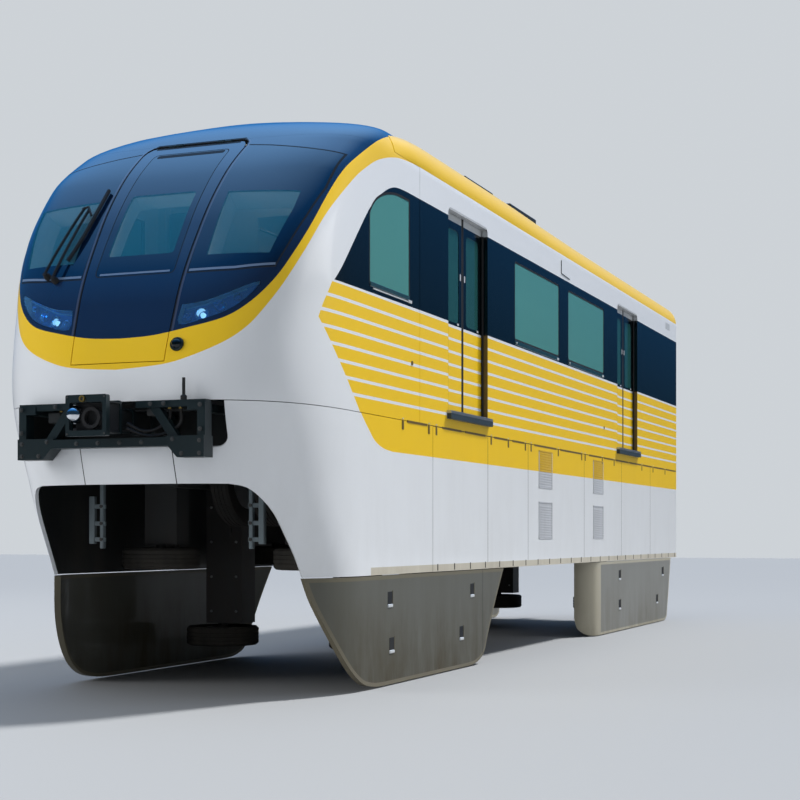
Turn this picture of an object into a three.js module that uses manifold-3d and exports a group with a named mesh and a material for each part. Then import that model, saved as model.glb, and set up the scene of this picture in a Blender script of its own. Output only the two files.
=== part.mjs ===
// Lead car of a straddle monorail train, with its bogies, guide wheels, doors and streamlined cab.
// Millimetres. +X is the cab end, +Y is the car's left side, +Z is up.
// The origin lies on the beam's running surface, midway between the two bogies.
import * as THREE from "three";
import { mergeVertices } from "three/addons/utils/BufferGeometryUtils.js";
import Module from "manifold-3d";

const wasm = await Module();
wasm.setup();

// Driving dimensions of the body
const HALF_WIDTH = 1450;
const SHOULDER_Z = 3380;
const CORNER_RADIUS = 360;
const CORNER_TURN = THREE.MathUtils.degToRad(72);
const CROWN_Z = 3820;
const CROWN_FLAT_Z = 3819;
const SEAM_Z = 990;
const SKIRT_Z = -440;
const BOGIE_SKIRT_Z = -1440;
const REAR_X = -7300;
const END_WALL = 120;
const WALL = 130;
const SHELL = 60;
const LOWER_SHELL = 90;
const TOUCH = 0.3;
const CAB_JOINT_X = 4850;
const SKIRT_JOINT_X = 4490;
const FLOOR_TOP_Z = 1150;
const FLOOR_BOTTOM_Z = 1030;

// Driving dimensions of the running gear
const BOGIE_X = 4600;
const AXLE_OFFSET = 750;
const RUNNING_RADIUS = 503;
const GUIDE_RADIUS = 365;
const GUIDE_Y = 790;
const GUIDE_OFFSET = 1250;
const GUIDE_Z = -300;
const STABILISER_Z = -1100;
const SIDE_WHEEL_HEIGHT = 200;
const HUB_HALF = 60;
const PIN_RADIUS = 49;
const WASHER_RADIUS = 90;
const WHEEL_BORE = 50.3;
const JOURNAL_RADIUS = 75;

// Doors and windows along the car
const DOOR_SILL_Z = 1160;
const DOOR_TOP_Z = 3220;
const DOOR_WIDTH = 1270;
const LEAF_THICKNESS = 32;
const LEAF_Y = 1366;
const LEAF_CLEARANCE = 6;
const LEAF_TOP_Z = 3252;
const DOOR_RAIL_Z = 3260;
const SEAM_HALF = 3;
const LEAF_OVERLAP = 30;
const WINDOW_BOTTOM_Z = 2100;
const WINDOW_TOP_Z = 3030;
const GLAZING_SETBACK = 8;
const GLAZING_THICKNESS = 25;
const DOORS = [
  { name: "front", centre: 3405 },
  { name: "rear", centre: -3780 },
];
const WINDOWS = [
  { front: 1790, rear: -80 },
  { front: -500, rear: -2360 },
];

// Horizontal sections of the nose: height, furthest reach, where the flat side starts, power of the curve
const NOSE = [
  { z: -440, tip: 7450, side: 6200, power: 2.4 },
  { z: 300, tip: 7870, side: 6200, power: 2.7 },
  { z: 1000, tip: 8000, side: 6200, power: 3.4 },
  { z: 1800, tip: 7800, side: 6200, power: 4.2 },
  { z: 2500, tip: 7420, side: 6300, power: 5.3 },
  { z: 3000, tip: 7020, side: 6130, power: 5.3 },
  { z: 3380, tip: 6565, side: 5720, power: 4.2 },
  { z: 3600, tip: 6215, side: 5560, power: 2.5 },
  { z: 3740, tip: 5825, side: 5050, power: 2.0 },
  { z: 3820, tip: 5510, side: 4900, power: 2.1 },
];
const UPPER_LEVELS = [
  990, 1400, 1800, 2150, 2500, 2800, 3050, 3230, 3380, 3480, 3570, 3640, 3690, 3722, 3765, 3800,
  CROWN_FLAT_Z,
];
const LOWER_LEVELS = [-440, -100, 300, 650, 990];
const NOSE_COLUMNS = 10;

// Dark mask round the windscreens: its lower edge in the front view, its upper edge in the side view
const MASK_FRONT = [
  [0, 1510], [530, 1570], [870, 1660], [1130, 1880], [1320, 2300], [1395, 2500], [1500, 2800],
  [1500, 3900],
];
const MASK_SIDE = [
  [7180, 1400], [7180, 2450], [6810, 2880], [6420, 3200], [5910, 3460], [5350, 3630], [4700, 3740],
  [4700, 3900],
];

// Emergency door in the front view, the roof cap above it and the hinge in the slot between them
const FRONT_DOOR_FOOT = { half: 430, z: 1310 };
const FRONT_DOOR_HEAD = { half: 500, z: 3383 };
const FRONT_DOOR_GAP = 6;
const CAP_Z = 3410;
const FRONT_HINGE = { x: 6545, z: 3398, radius: 10 };

const paint = (colour, roughness, metalness = 0) =>
  new THREE.MeshStandardMaterial({ color: colour, roughness, metalness });
const WHITE = paint(0xdfe3e8, 0.35);
const YELLOW = paint(0xf2bd1b, 0.35);
const NAVY = paint(0x141c38, 0.15);
const GLASS = paint(0x4b8f86, 0.08);
const GREY = paint(0x8b8a84, 0.45);
const ROOF_GREY = paint(0xb9bcbe, 0.5);
const STEEL = paint(0x3a4142, 0.5, 0.6);
const DARK = paint(0x1d2222, 0.6, 0.3);
const RUBBER = paint(0x161616, 0.85);
const INTERIOR = paint(0xc8cccb, 0.6);
const SEAT = paint(0x2f5f8f, 0.8);

const car = new THREE.Group();

// A closed geometry as a solid for cutting and joining.
function solid(geometry) {
  const bare = geometry.index ? geometry.toNonIndexed() : geometry.clone();
  bare.deleteAttribute("normal");
  bare.deleteAttribute("uv");
  const merged = mergeVertices(bare, 1e-3);
  return new wasm.Manifold(
    new wasm.Mesh({
      numProp: 3,
      vertProperties: merged.attributes.position.array,
      triVerts: new Uint32Array(merged.index.array),
    }),
  );
}

// Puts a solid into the car as a named mesh.
function add(name, shape, material) {
  const made = shape.getMesh();
  const geometry = new THREE.BufferGeometry();
  geometry.setAttribute("position", new THREE.BufferAttribute(made.vertProperties, 3));
  geometry.setIndex(new THREE.BufferAttribute(made.triVerts, 1));
  geometry.computeVertexNormals();
  const mesh = new THREE.Mesh(geometry, material);
  mesh.name = name;
  car.add(mesh);
  return mesh;
}

const join = (shapes) => shapes.reduce((sum, shape) => sum.add(shape));

function box(x0, x1, y0, y1, z0, z1) {
  const geometry = new THREE.BoxGeometry(x1 - x0, y1 - y0, z1 - z0);
  geometry.translate((x0 + x1) / 2, (y0 + y1) / 2, (z0 + z1) / 2);
  return solid(geometry);
}

function cylinder(radius, from, to, segments = 16) {
  const start = new THREE.Vector3(...from);
  const along = new THREE.Vector3(...to).sub(start);
  const geometry = new THREE.CylinderGeometry(radius, radius, along.length(), segments);
  geometry.translate(0, along.length() / 2, 0);
  const up = new THREE.Vector3(0, 1, 0);
  geometry.applyQuaternion(new THREE.Quaternion().setFromUnitVectors(up, along.normalize()));
  geometry.translate(...from);
  return solid(geometry);
}

function extrude(points, low, high) {
  const shape = new THREE.Shape(points.map(([u, v]) => new THREE.Vector2(u, v)));
  const geometry = new THREE.ExtrudeGeometry(shape, { depth: high - low, bevelEnabled: false });
  geometry.translate(0, 0, low);
  return geometry;
}

// An outline of [y, z] points carried along X.
function prismX(points, x0, x1) {
  const turn = new THREE.Matrix4().set(0, 0, 1, 0, 1, 0, 0, 0, 0, 1, 0, 0, 0, 0, 0, 1);
  return solid(extrude(points, x0, x1).applyMatrix4(turn));
}

// An outline of [x, z] points carried along Y.
function prismY(points, y0, y1) {
  const turn = new THREE.Matrix4().set(0, 1, 0, 0, 0, 0, 1, 0, 1, 0, 0, 0, 0, 0, 0, 1);
  return solid(extrude(points.map(([x, z]) => [z, x]), y0, y1).applyMatrix4(turn));
}

// An outline of [x, y] points carried along Z.
const prismZ = (points, z0, z1) => solid(extrude(points, z0, z1));

// A profile of [radius, height] points turned round an axis through a centre.
function turned(profile, axis, centre, segments) {
  const geometry = new THREE.LatheGeometry(
    profile.map(([radius, height]) => new THREE.Vector2(radius, height)),
    segments,
  );
  if (axis === "z") geometry.rotateX(Math.PI / 2);
  geometry.translate(...centre);
  return solid(geometry);
}

// A rectangle with round corners as a list of points.
function roundRect(u0, u1, v0, v1, radius, steps = 3) {
  const corners = [
    [u1 - radius, v0 + radius, -90], [u1 - radius, v1 - radius, 0],
    [u0 + radius, v1 - radius, 90], [u0 + radius, v0 + radius, 180],
  ];
  return corners.flatMap(([u, v, start]) =>
    Array.from({ length: steps + 1 }, (_, i) => {
      const angle = THREE.MathUtils.degToRad(start + (90 * i) / steps);
      return [u + radius * Math.cos(angle), v + radius * Math.sin(angle)];
    }),
  );
}

const mirrorY = (shape) => shape.mirror([0, 1, 0]);
const mirrored = (points) => [
  ...points,
  ...points.slice().reverse().filter(([y]) => y > 0).map(([y, z]) => [-y, z]),
];

// Half width of the body's section at a height, with its round corner and crowned roof.
function halfWidth(z) {
  if (z <= SHOULDER_Z) return HALF_WIDTH;
  const cornerTop = SHOULDER_Z + CORNER_RADIUS * Math.sin(CORNER_TURN);
  const crownHalf = HALF_WIDTH - CORNER_RADIUS * (1 - Math.cos(CORNER_TURN));
  if (z > cornerTop) return crownHalf * Math.sqrt((CROWN_Z - z) / (CROWN_Z - cornerTop));
  return HALF_WIDTH - CORNER_RADIUS + Math.sqrt(CORNER_RADIUS ** 2 - (z - SHOULDER_Z) ** 2);
}

// One column of the nose table at a height, by a smooth curve through its rows.
function noseValue(z, column) {
  const last = NOSE.length - 1;
  let row = 0;
  while (row < last - 1 && NOSE[row + 1].z < z) row += 1;
  const slope = (i) => (NOSE[i + 1][column] - NOSE[i][column]) / (NOSE[i + 1].z - NOSE[i].z);
  const tangent = (i) => {
    if (i === 0) return slope(0);
    if (i === last) return slope(last - 1);
    const before = slope(i - 1);
    const after = slope(i);
    return before * after <= 0 ? 0 : (2 * before * after) / (before + after);
  };
  const span = NOSE[row + 1].z - NOSE[row].z;
  const t = (z - NOSE[row].z) / span;
  return (
    NOSE[row][column] * (2 * t ** 3 - 3 * t ** 2 + 1) +
    NOSE[row + 1][column] * (3 * t ** 2 - 2 * t ** 3) +
    span * tangent(row) * (t ** 3 - 2 * t ** 2 + t) +
    span * tangent(row + 1) * (t ** 3 - t ** 2)
  );
}

// How far forward the nose reaches at a place in the front view.
function noseX(y, z) {
  const power = noseValue(z, "power");
  const side = noseValue(z, "side");
  const share = Math.min(1, Math.abs(y) / halfWidth(z));
  return side + (noseValue(z, "tip") - side) * (1 - share ** power) ** (1 / power);
}

// A closed solid through level rings that all have the same number of points.
function loft(rings) {
  const count = rings[0].length;
  const positions = rings.flat(2);
  const index = [];
  for (let level = 0; level < rings.length - 1; level += 1) {
    for (let i = 0; i < count; i += 1) {
      const a = level * count + i;
      const b = level * count + ((i + 1) % count);
      index.push(a, b, b + count, a, b + count, a + count);
    }
  }
  const top = (rings.length - 1) * count;
  for (let i = 1; i < count - 1; i += 1) {
    index.push(0, i + 1, i);
    index.push(top, top + i, top + i + 1);
  }
  const geometry = new THREE.BufferGeometry();
  geometry.setAttribute("position", new THREE.Float32BufferAttribute(positions, 3));
  geometry.setIndex(index);
  return solid(geometry);
}

// The body from a plane behind the cab to the nose, drawn in by a wall thickness.
function noseSolid(levels, back, inset = 0, lift = 0) {
  const narrow = (HALF_WIDTH - inset) / HALF_WIDTH;
  const squeeze = (CROWN_Z - inset - SEAM_Z) / (CROWN_Z - SEAM_Z);
  const height = (z) => (z > SEAM_Z ? SEAM_Z + (z - SEAM_Z) * squeeze : z) - lift;
  return loft(
    levels.map((z) => {
      const half = halfWidth(z);
      const ring = [[back, half * narrow, height(z)]];
      ring.push([back, -half * narrow, height(z)]);
      for (let i = 0; i <= 2 * NOSE_COLUMNS; i += 1) {
        const share = Math.sin((Math.PI / 2) * (i / NOSE_COLUMNS - 1));
        ring.push([noseX(share * half, z) - inset, share * half * narrow, height(z)]);
      }
      return ring;
    }),
  );
}

// Right half of the body's section from the seam to the roof joint, as [y, z]
const cornerArc = [0, 18, 36, 54, 72].map((degrees) => {
  const angle = THREE.MathUtils.degToRad(degrees);
  return [
    HALF_WIDTH - CORNER_RADIUS + CORNER_RADIUS * Math.cos(angle),
    SHOULDER_Z + CORNER_RADIUS * Math.sin(angle),
  ];
});
const ROOF_INNER = [1165, 3610];
const wallSection = [
  [HALF_WIDTH, SEAM_Z], ...cornerArc, ROOF_INNER, [HALF_WIDTH - WALL, 3400],
  [HALF_WIDTH - WALL, SEAM_Z],
];
const crown = [3765, 3800, CROWN_FLAT_Z].map((z) => [halfWidth(z), z]);

// Cab shell, cut into its panels
const lowestLevel = UPPER_LEVELS[0];
const outerCab = noseSolid(UPPER_LEVELS, CAB_JOINT_X + TOUCH);
const innerCab = noseSolid([lowestLevel - 100, ...UPPER_LEVELS.slice(1)], CAB_JOINT_X - 100, SHELL);
const cabShell = outerCab.subtract(innerCab);
const X_FROM = 4000;
const X_TO = 8600;
const mask = (by) => {
  const front = MASK_FRONT.map(([y, z]) => [y === 0 ? 0 : y + by, z - by]);
  const side = [[X_TO, 1400 - by], ...MASK_SIDE.map(([x, z]) => [x - by, z - by]), [X_TO, 3900 - by]];
  return prismX(mirrored(front), X_FROM, X_TO).intersect(prismY(side, -1600, 1600));
};
const doorOutline = (by, top) => [
  [FRONT_DOOR_FOOT.half + by, FRONT_DOOR_FOOT.z - by], [FRONT_DOOR_HEAD.half + by, top],
  [-FRONT_DOOR_HEAD.half - by, top], [-FRONT_DOOR_FOOT.half - by, FRONT_DOOR_FOOT.z - by],
];
const doorHole = prismX(doorOutline(FRONT_DOOR_GAP, CAP_Z), 6000, X_TO);

const CAB_WINDOW = [
  [5115, 2130], [6110, 2090], [6110, 2800], [6030, 2960], [5880, 3060], [5740, 3090], [5115, 3090],
];
const windowPrism = (points, by) => {
  const middle = points.reduce((sum, [x, z]) => [sum[0] + x, sum[1] + z], [0, 0]);
  const centre = middle.map((value) => value / points.length);
  const shrink = points.map(([x, z]) => [
    x + Math.sign(centre[0] - x) * by,
    z + Math.sign(centre[1] - z) * by,
  ]);
  return prismY(shrink, -1600, 1600);
};

// Headlamp outline in the front view, a slim wedge that rises outwards
const LAMP = [
  [500, 1610], [740, 1665], [900, 1730], [1040, 1840], [1120, 1960], [850, 1850], [510, 1775],
];
const LAMP_CENTRE = [830, 1780];
const LAMP_FIT = 0.996;
const lampOutline = LAMP.map((point) =>
  point.map((value, i) => LAMP_CENTRE[i] + (value - LAMP_CENTRE[i]) * LAMP_FIT),
);

// The knuckles of the emergency door's hinge in the slot above it, with a neck to what they are on
function hingeKnuckles(y, up) {
  const { x, z, radius } = FRONT_HINGE;
  const half = 35 - TOUCH / 2;
  return [-1, 1].flatMap((side) => {
    const middle = side * y;
    const barrel = cylinder(radius, [x, middle - half, z], [x, middle + half, z], 12);
    const reach = up * 18;
    const neck = box(
      x - 8 - (up > 0 ? 40 : 0), x + 8 - (up > 0 ? 8 : 0), middle - half, middle + half,
      Math.min(z, z + reach), Math.max(z, z + reach),
    );
    return [barrel, neck];
  });
}

function buildCab() {
  const panes = prismY(CAB_WINDOW, -1600, 1600);
  add("nose_upper_shell", cabShell.subtract(mask(TOUCH)).subtract(doorHole).subtract(panes), WHITE);

  const masked = cabShell.intersect(mask(0));
  const cap = masked.intersect(box(X_FROM, X_TO, -1500, 1500, CAP_Z, 4000));
  add("front_roof_cap", join([cap, ...hingeKnuckles(210, 1)]), NAVY);

  const half = masked
    .intersect(box(X_FROM, X_TO, 0, 1500, 1400, CAP_Z - TOUCH))
    .subtract(doorHole);
  const lampBody = half.intersect(prismX(lampOutline, 7000, X_TO));
  const screen = half.subtract(prismX(LAMP, 7000, X_TO));
  add("windscreen_left", screen, NAVY);
  add("windscreen_right", mirrorY(screen), NAVY);
  add("headlamp_left", lampBody, GLASS);
  add("headlamp_right", mirrorY(lampBody), GLASS);

  const doorPanel = cabShell.intersect(prismX(doorOutline(0, FRONT_DOOR_HEAD.z), 6000, X_TO));
  add("emergency_door", join([doorPanel, ...hingeKnuckles(280, -1)]), NAVY);

  const inner = HALF_WIDTH - GLAZING_SETBACK - GLAZING_THICKNESS;
  const cabPane = box(5000, 6300, inner, HALF_WIDTH - GLAZING_SETBACK, 2000, 3200);
  const pane = windowPrism(CAB_WINDOW, TOUCH).intersect(cabPane);
  add("cab_window_left", pane, GLASS);
  add("cab_window_right", mirrorY(pane), GLASS);
}

// Lower nose with the coupler pocket and the opening that straddles the beam
const POCKET = roundRect(-930, 930, 620, 1020, 90);
const BEAM_OPENING = [
  [-1225, -600], [-1170, -100], [-1085, 230], [-960, 330], [960, 330], [1085, 230], [1170, -100],
  [1225, -600],
];

function buildLowerNose() {
  const outer = noseSolid(LOWER_LEVELS, SKIRT_JOINT_X + TOUCH, 0, TOUCH);
  const innerLevels = [-600, ...LOWER_LEVELS.slice(1, -1), 1100];
  const inner = noseSolid(innerLevels, SKIRT_JOINT_X - 100, LOWER_SHELL);
  const shell = outer.subtract(inner);
  const pocket = prismX(POCKET, 6800, X_TO);
  const slot = prismX(BEAM_OPENING, 6000, X_TO);
  add("nose_lower_shell", shell.subtract(pocket).subtract(slot), WHITE);
}

// The strip that covers the pillar between the two saloon windows, or the rebate that takes it
function pillarStrip(clear, y0, y1) {
  const rear = WINDOWS[1].front - 100;
  const front = WINDOWS[0].rear + 100;
  const low = WINDOW_BOTTOM_Z + 80 + clear;
  const high = WINDOW_TOP_Z - 80 - clear;
  return box(rear, front, y0, y1, low, high);
}

function buildWalls() {
  const rearEnd = REAR_X + END_WALL + TOUCH;
  let wall = prismX(wallSection, rearEnd, CAB_JOINT_X);
  for (const { front, rear } of WINDOWS) {
    const opening = roundRect(rear, front, WINDOW_BOTTOM_Z, WINDOW_TOP_Z, 60, 2);
    wall = wall.subtract(prismY(opening, 1200, 1600));
  }
  wall = wall.subtract(pillarStrip(0, HALF_WIDTH - GLAZING_SETBACK - GLAZING_THICKNESS, 1600));
  const half = DOOR_WIDTH / 2;
  const pocketInner = LEAF_Y - LEAF_THICKNESS / 2 - LEAF_CLEARANCE;
  const pocketOuter = LEAF_Y + LEAF_THICKNESS / 2 + LEAF_CLEARANCE;
  const reach = DOOR_WIDTH + LEAF_OVERLAP + 15;
  const pocketFloor = DOOR_SILL_Z - LEAF_CLEARANCE;
  const sill = { y: 1500, low: 1085, high: 1140, beyond: 40 };
  for (const { centre } of DOORS) {
    wall = wall.subtract(box(centre - half, centre + half, 1200, 1600, FLOOR_TOP_Z, DOOR_TOP_Z));
    wall = wall.subtract(
      box(centre - reach, centre + reach, pocketInner, pocketOuter, pocketFloor, DOOR_RAIL_Z),
    );
    const sillHalf = half + sill.beyond;
    wall = wall.add(box(centre - sillHalf, centre + sillHalf, 1440, sill.y, sill.low, sill.high));
  }
  add("side_wall_left", wall, WHITE);
  add("side_wall_right", mirrorY(wall), WHITE);

  const roofEdge = [ROOF_INNER, cornerArc.at(-1)].map(([y, z]) => [y - 2 * TOUCH, z]);
  const roofHalf = [...roofEdge, ...crown];
  const roofOutline = [...roofHalf, ...roofHalf.map(([y, z]) => [-y, z]).reverse()];
  add("roof", prismX(roofOutline, rearEnd, CAB_JOINT_X), ROOF_GREY);

  const section = [...wallSection.slice(0, cornerArc.length + 1), ...crown];
  const fullSection = [...section, ...section.map(([y, z]) => [-y, z]).reverse()];
  const doorway = box(REAR_X - 10, REAR_X + END_WALL + 10, -450, 450, FLOOR_TOP_Z, 3150);
  add("rear_wall", prismX(fullSection, REAR_X, REAR_X + END_WALL).subtract(doorway), WHITE);
}

// Floor plate, its front edge just inside the nose
function buildFloor() {
  const inset = SHELL + 35;
  const widen = HALF_WIDTH / (HALF_WIDTH - inset);
  const edge = HALF_WIDTH - WALL - TOUCH;
  const nose = [];
  for (let i = 0; i <= 8; i += 1) {
    const y = edge * Math.sin((Math.PI / 2) * (i / 8));
    nose.push([noseX(y * widen, FLOOR_TOP_Z + 30) - inset, y]);
  }
  const half = [...nose, [REAR_X + END_WALL + TOUCH, edge]];
  const outline = [...half, ...half.slice(1).map(([x, y]) => [x, -y]).reverse()];
  add("floor", prismZ(outline, FLOOR_BOTTOM_Z, FLOOR_TOP_Z), INTERIOR);
}

// Two panes a side, made as one flush unit with the dark strip over the pillar between them
function buildGlazing() {
  const outer = HALF_WIDTH - GLAZING_SETBACK;
  const inner = outer - GLAZING_THICKNESS;
  const panes = WINDOWS.map(({ front, rear }) =>
    prismY(
      roundRect(rear + TOUCH, front - TOUCH, WINDOW_BOTTOM_Z + TOUCH, WINDOW_TOP_Z - TOUCH, 60, 2),
      inner,
      outer,
    ),
  );
  const strip = pillarStrip(TOUCH, inner + TOUCH, outer);
  const unit = join([...panes, strip]);
  add("saloon_glazing_left", unit, GLASS);
  add("saloon_glazing_right", mirrorY(unit), GLASS);
}

// Sliding leaves that hang by two lugs each from the rail at the top of their pocket
function buildDoors() {
  const half = DOOR_WIDTH / 2;
  const y0 = LEAF_Y - LEAF_THICKNESS / 2;
  const y1 = LEAF_Y + LEAF_THICKNESS / 2;
  for (const { name, centre } of DOORS) {
    for (const [end, sign] of [["fore", 1], ["aft", -1]]) {
      const seam = centre + sign * SEAM_HALF;
      const far = centre + sign * (half + LEAF_OVERLAP);
      const mid = centre + (sign * half) / 2;
      const light = roundRect(mid - 190, mid + 190, 2080, 3000, 50, 2);
      const panel = box(Math.min(seam, far), Math.max(seam, far), y0, y1, DOOR_SILL_Z, LEAF_TOP_Z);
      const hangers = [-200, 200].map((along) =>
        box(mid + along - 40, mid + along + 40, LEAF_Y - 10, LEAF_Y + 10, 3240, DOOR_RAIL_Z - TOUCH),
      );
      const leaf = join([panel, ...hangers]).subtract(prismY(light, y0 - 20, y1 + 20));
      add(`door_${name}_left_${end}`, leaf, YELLOW);
      add(`door_${name}_right_${end}`, mirrorY(leaf), YELLOW);
    }
  }
}

function buildSkirts() {
  const top = SEAM_Z - TOUCH;
  const panel = box(REAR_X, SKIRT_JOINT_X, HALF_WIDTH - LOWER_SHELL, HALF_WIDTH, SKIRT_Z, top);
  add("side_skirt_left", panel, WHITE);
  add("side_skirt_right", mirrorY(panel), WHITE);

  const plan = [];
  for (let i = 0; i <= 6; i += 1) {
    const y = 1190 + (HALF_WIDTH - 1190) * Math.sin((Math.PI / 2) * (i / 6));
    plan.push([noseX(y, SKIRT_Z), y]);
  }
  const inner = plan.slice().reverse().map(([x, y]) => [x - SHELL, y - SHELL]);
  const flatPart = [[2100, HALF_WIDTH], [2100, HALF_WIDTH - SHELL]];
  const curved = prismZ([...plan, ...flatPart, ...inner], -1600, 0);
  const side = [
    [7200, SKIRT_Z - TOUCH], [2200, SKIRT_Z - TOUCH], [2790, -1200], [2900, -1350], [3150, -1420],
    [3300, BOGIE_SKIRT_Z], [5900, BOGIE_SKIRT_Z], [6250, -1390], [6500, -1230], [6800, -900],
    [6990, SKIRT_Z - 60],
  ];
  const front = curved.intersect(prismY(side, 1000, 1600));
  add("bogie_skirt_front_left", front, GREY);
  add("bogie_skirt_front_right", mirrorY(front), GREY);

  const rearPlan = [
    [-1800, 1180], [-1830, 1330], [-1960, 1420], [-2260, HALF_WIDTH], [-6850, HALF_WIDTH],
    [-6850, HALF_WIDTH - SHELL], [-2290, HALF_WIDTH - SHELL], [-2000, 1365], [-1890, 1300],
    [-1860, 1180],
  ];
  const rearSide = [
    [-1700, SKIRT_Z - TOUCH], [-6850, SKIRT_Z - TOUCH], [-6560, -1300], [-6380, BOGIE_SKIRT_Z],
    [-2100, BOGIE_SKIRT_Z], [-1850, -1380], [-1700, -1200],
  ];
  const rear = prismZ(rearPlan, -1600, 0).intersect(prismY(rearSide, 1000, 1600));
  add("bogie_skirt_rear_left", rear, GREY);
  add("bogie_skirt_rear_right", mirrorY(rear), GREY);
}

// Coupler, bumper frame, gangway and underfloor equipment
function buildEnds() {
  const head = box(8130, 8430, -185, 185, 690, 1015);
  const shank = box(6750, 8140, -90, 90, 760, 930);
  const anchor = box(6750, 6950, -220, 220, 740, FLOOR_BOTTOM_Z - TOUCH);
  add("front_coupler", join([head, shank, anchor]), STEEL);

  const bars = [box(7930, 8080, -860, 860, 620, 690)];
  for (const side of [-1, 1]) {
    const at = (a, b) => [Math.min(side * a, side * b), Math.max(side * a, side * b)];
    const foot = [[620, 530], [860, 530], [860, 700], [520, 700], [520, 640]];
    const footPrism = prismX(foot.map(([y, z]) => [side * y, z]), 7930, 8080);
    bars.push(footPrism);
    bars.push(box(7950, 8060, ...at(790, 860), 640, 960));
    bars.push(box(6850, 8060, ...at(700, 800), 900, 960));
    bars.push(box(6850, 7000, ...at(700, 800), 900, FLOOR_BOTTOM_Z - TOUCH));
    const brace = [[330, 960], [420, 960], [640, 660], [550, 660]];
    bars.push(prismX(brace.map(([y, z]) => [side * y, z]), 7970, 8040));
  }
  bars.push(box(7960, 8050, -860, 860, 930, 985).subtract(box(7900, 8100, -230, 230, 900, 1000)));
  add("bumper_frame", join(bars), STEEL);

  const folds = [0, 1, 2].map((i) => {
    const x1 = REAR_X - TOUCH - i * 80;
    const ring = prismX(roundRect(-640, 640, 1010, 3330, 120), x1 - 45, x1);
    const neck = prismX(roundRect(-600, 600, 1050, 3290, 100), x1 - 81, x1 - 44);
    return i === 2 ? ring : join([ring, neck]);
  });
  const passage = box(REAR_X - 400, REAR_X + 10, -480, 480, 1120, 3180);
  add("gangway_bellows", join(folds).subtract(passage), RUBBER);

  const rearBar = box(-7700, -6950, -80, 80, 760, 900);
  const rearAnchor = box(-7160, -6950, -220, 220, 740, FLOOR_BOTTOM_Z - TOUCH);
  add("rear_drawbar", join([rearBar, rearAnchor]), STEEL);

  const across = box(-1600, 2000, -1250, 1250, 800, FLOOR_BOTTOM_Z - TOUCH);
  const boxLeft = box(-1600, 2000, 620, 1250, -350, 900);
  add("underfloor_equipment", join([across, boxLeft, mirrorY(boxLeft)]), DARK);
}

function buildRoofUnits() {
  const units = [
    { name: "roof_unit_front", front: 1900, rear: 900 },
    { name: "roof_unit_rear", front: 200, rear: -900 },
  ];
  const foot = 3822;
  for (const { name, front, rear } of units) {
    const outline = [[rear, foot], [front, foot], [front - 60, 3935], [rear + 60, 3935]];
    const cover = prismY(outline, -900, 900);
    const seat = box(rear + 40, front - 40, -80, 80, CROWN_FLAT_Z + TOUCH, foot + 10);
    add(name, cover.add(seat), DARK);
  }
}

function buildInterior() {
  const wallY = HALF_WIDTH - WALL - TOUCH;
  const bulk = box(4700, 4740, -wallY, wallY, FLOOR_TOP_Z + TOUCH, 3400);
  const high = box(4700, 4740, -1150, 1150, 3390, ROOF_INNER[1] - TOUCH);
  const doorway = box(4600, 4800, -330, 330, FLOOR_TOP_Z - 10, 3100);
  add("cab_bulkhead", join([bulk, high]).subtract(doorway), INTERIOR);

  const desk = [
    [6500, FLOOR_TOP_Z + TOUCH], [7150, FLOOR_TOP_Z + TOUCH], [7330, 1750], [7330, 1950],
    [6900, 1990], [6560, 1900],
  ];
  const half = 1050;
  add("driver_console", prismY(desk, -half, half), DARK);

  const back = wallY - TOUCH;
  const seat = [
    [back, 1560], [back - 430, 1560], [back - 450, 1600], [back - 100, 1620], [back - 60, 2040],
    [back, 2040],
  ];
  const plinth = box(-2300, 1900, back - 350, back, FLOOR_TOP_Z + TOUCH, 1570);
  const bench = prismX(seat, -2300, 1900).add(plinth);
  add("bench_seat_left", bench, SEAT);
  add("bench_seat_right", mirrorY(bench), SEAT);
}

// Running gear: one frame, two twin-tyred axles, four guide wheels and two stabilising wheels a bogie
// Turned profiles as [radius, place along the axle]
const axleHalf = [
  [0, -560], [JOURNAL_RADIUS, -560], [JOURNAL_RADIUS, -345], [470, -345], [RUNNING_RADIUS, -300],
  [RUNNING_RADIUS, -100], [470, -55], [130, -55],
];
const axleProfile = [
  ...axleHalf,
  ...axleHalf.slice().reverse().map(([radius, along]) => [radius, -along]),
];
const WHEEL_HALF = SIDE_WHEEL_HEIGHT / 2;
const sideWheelHalf = [
  [WHEEL_BORE, -HUB_HALF], [225, -HUB_HALF], [235, -WHEEL_HALF], [340, -WHEEL_HALF],
  [GUIDE_RADIUS, -70],
];
const sideWheelProfile = [
  ...sideWheelHalf,
  ...sideWheelHalf.slice().reverse().map(([radius, along]) => [radius, -along]),
  sideWheelHalf[0],
];

// A side wheel's pin with the washer under its hub
function wheelPin(x, y, z) {
  const end = z - HUB_HALF - 20;
  const pin = cylinder(PIN_RADIUS, [x, y, end], [x, y, z + 200]);
  return pin.add(cylinder(WASHER_RADIUS, [x, y, end], [x, y, z - HUB_HALF - TOUCH]));
}

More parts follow.
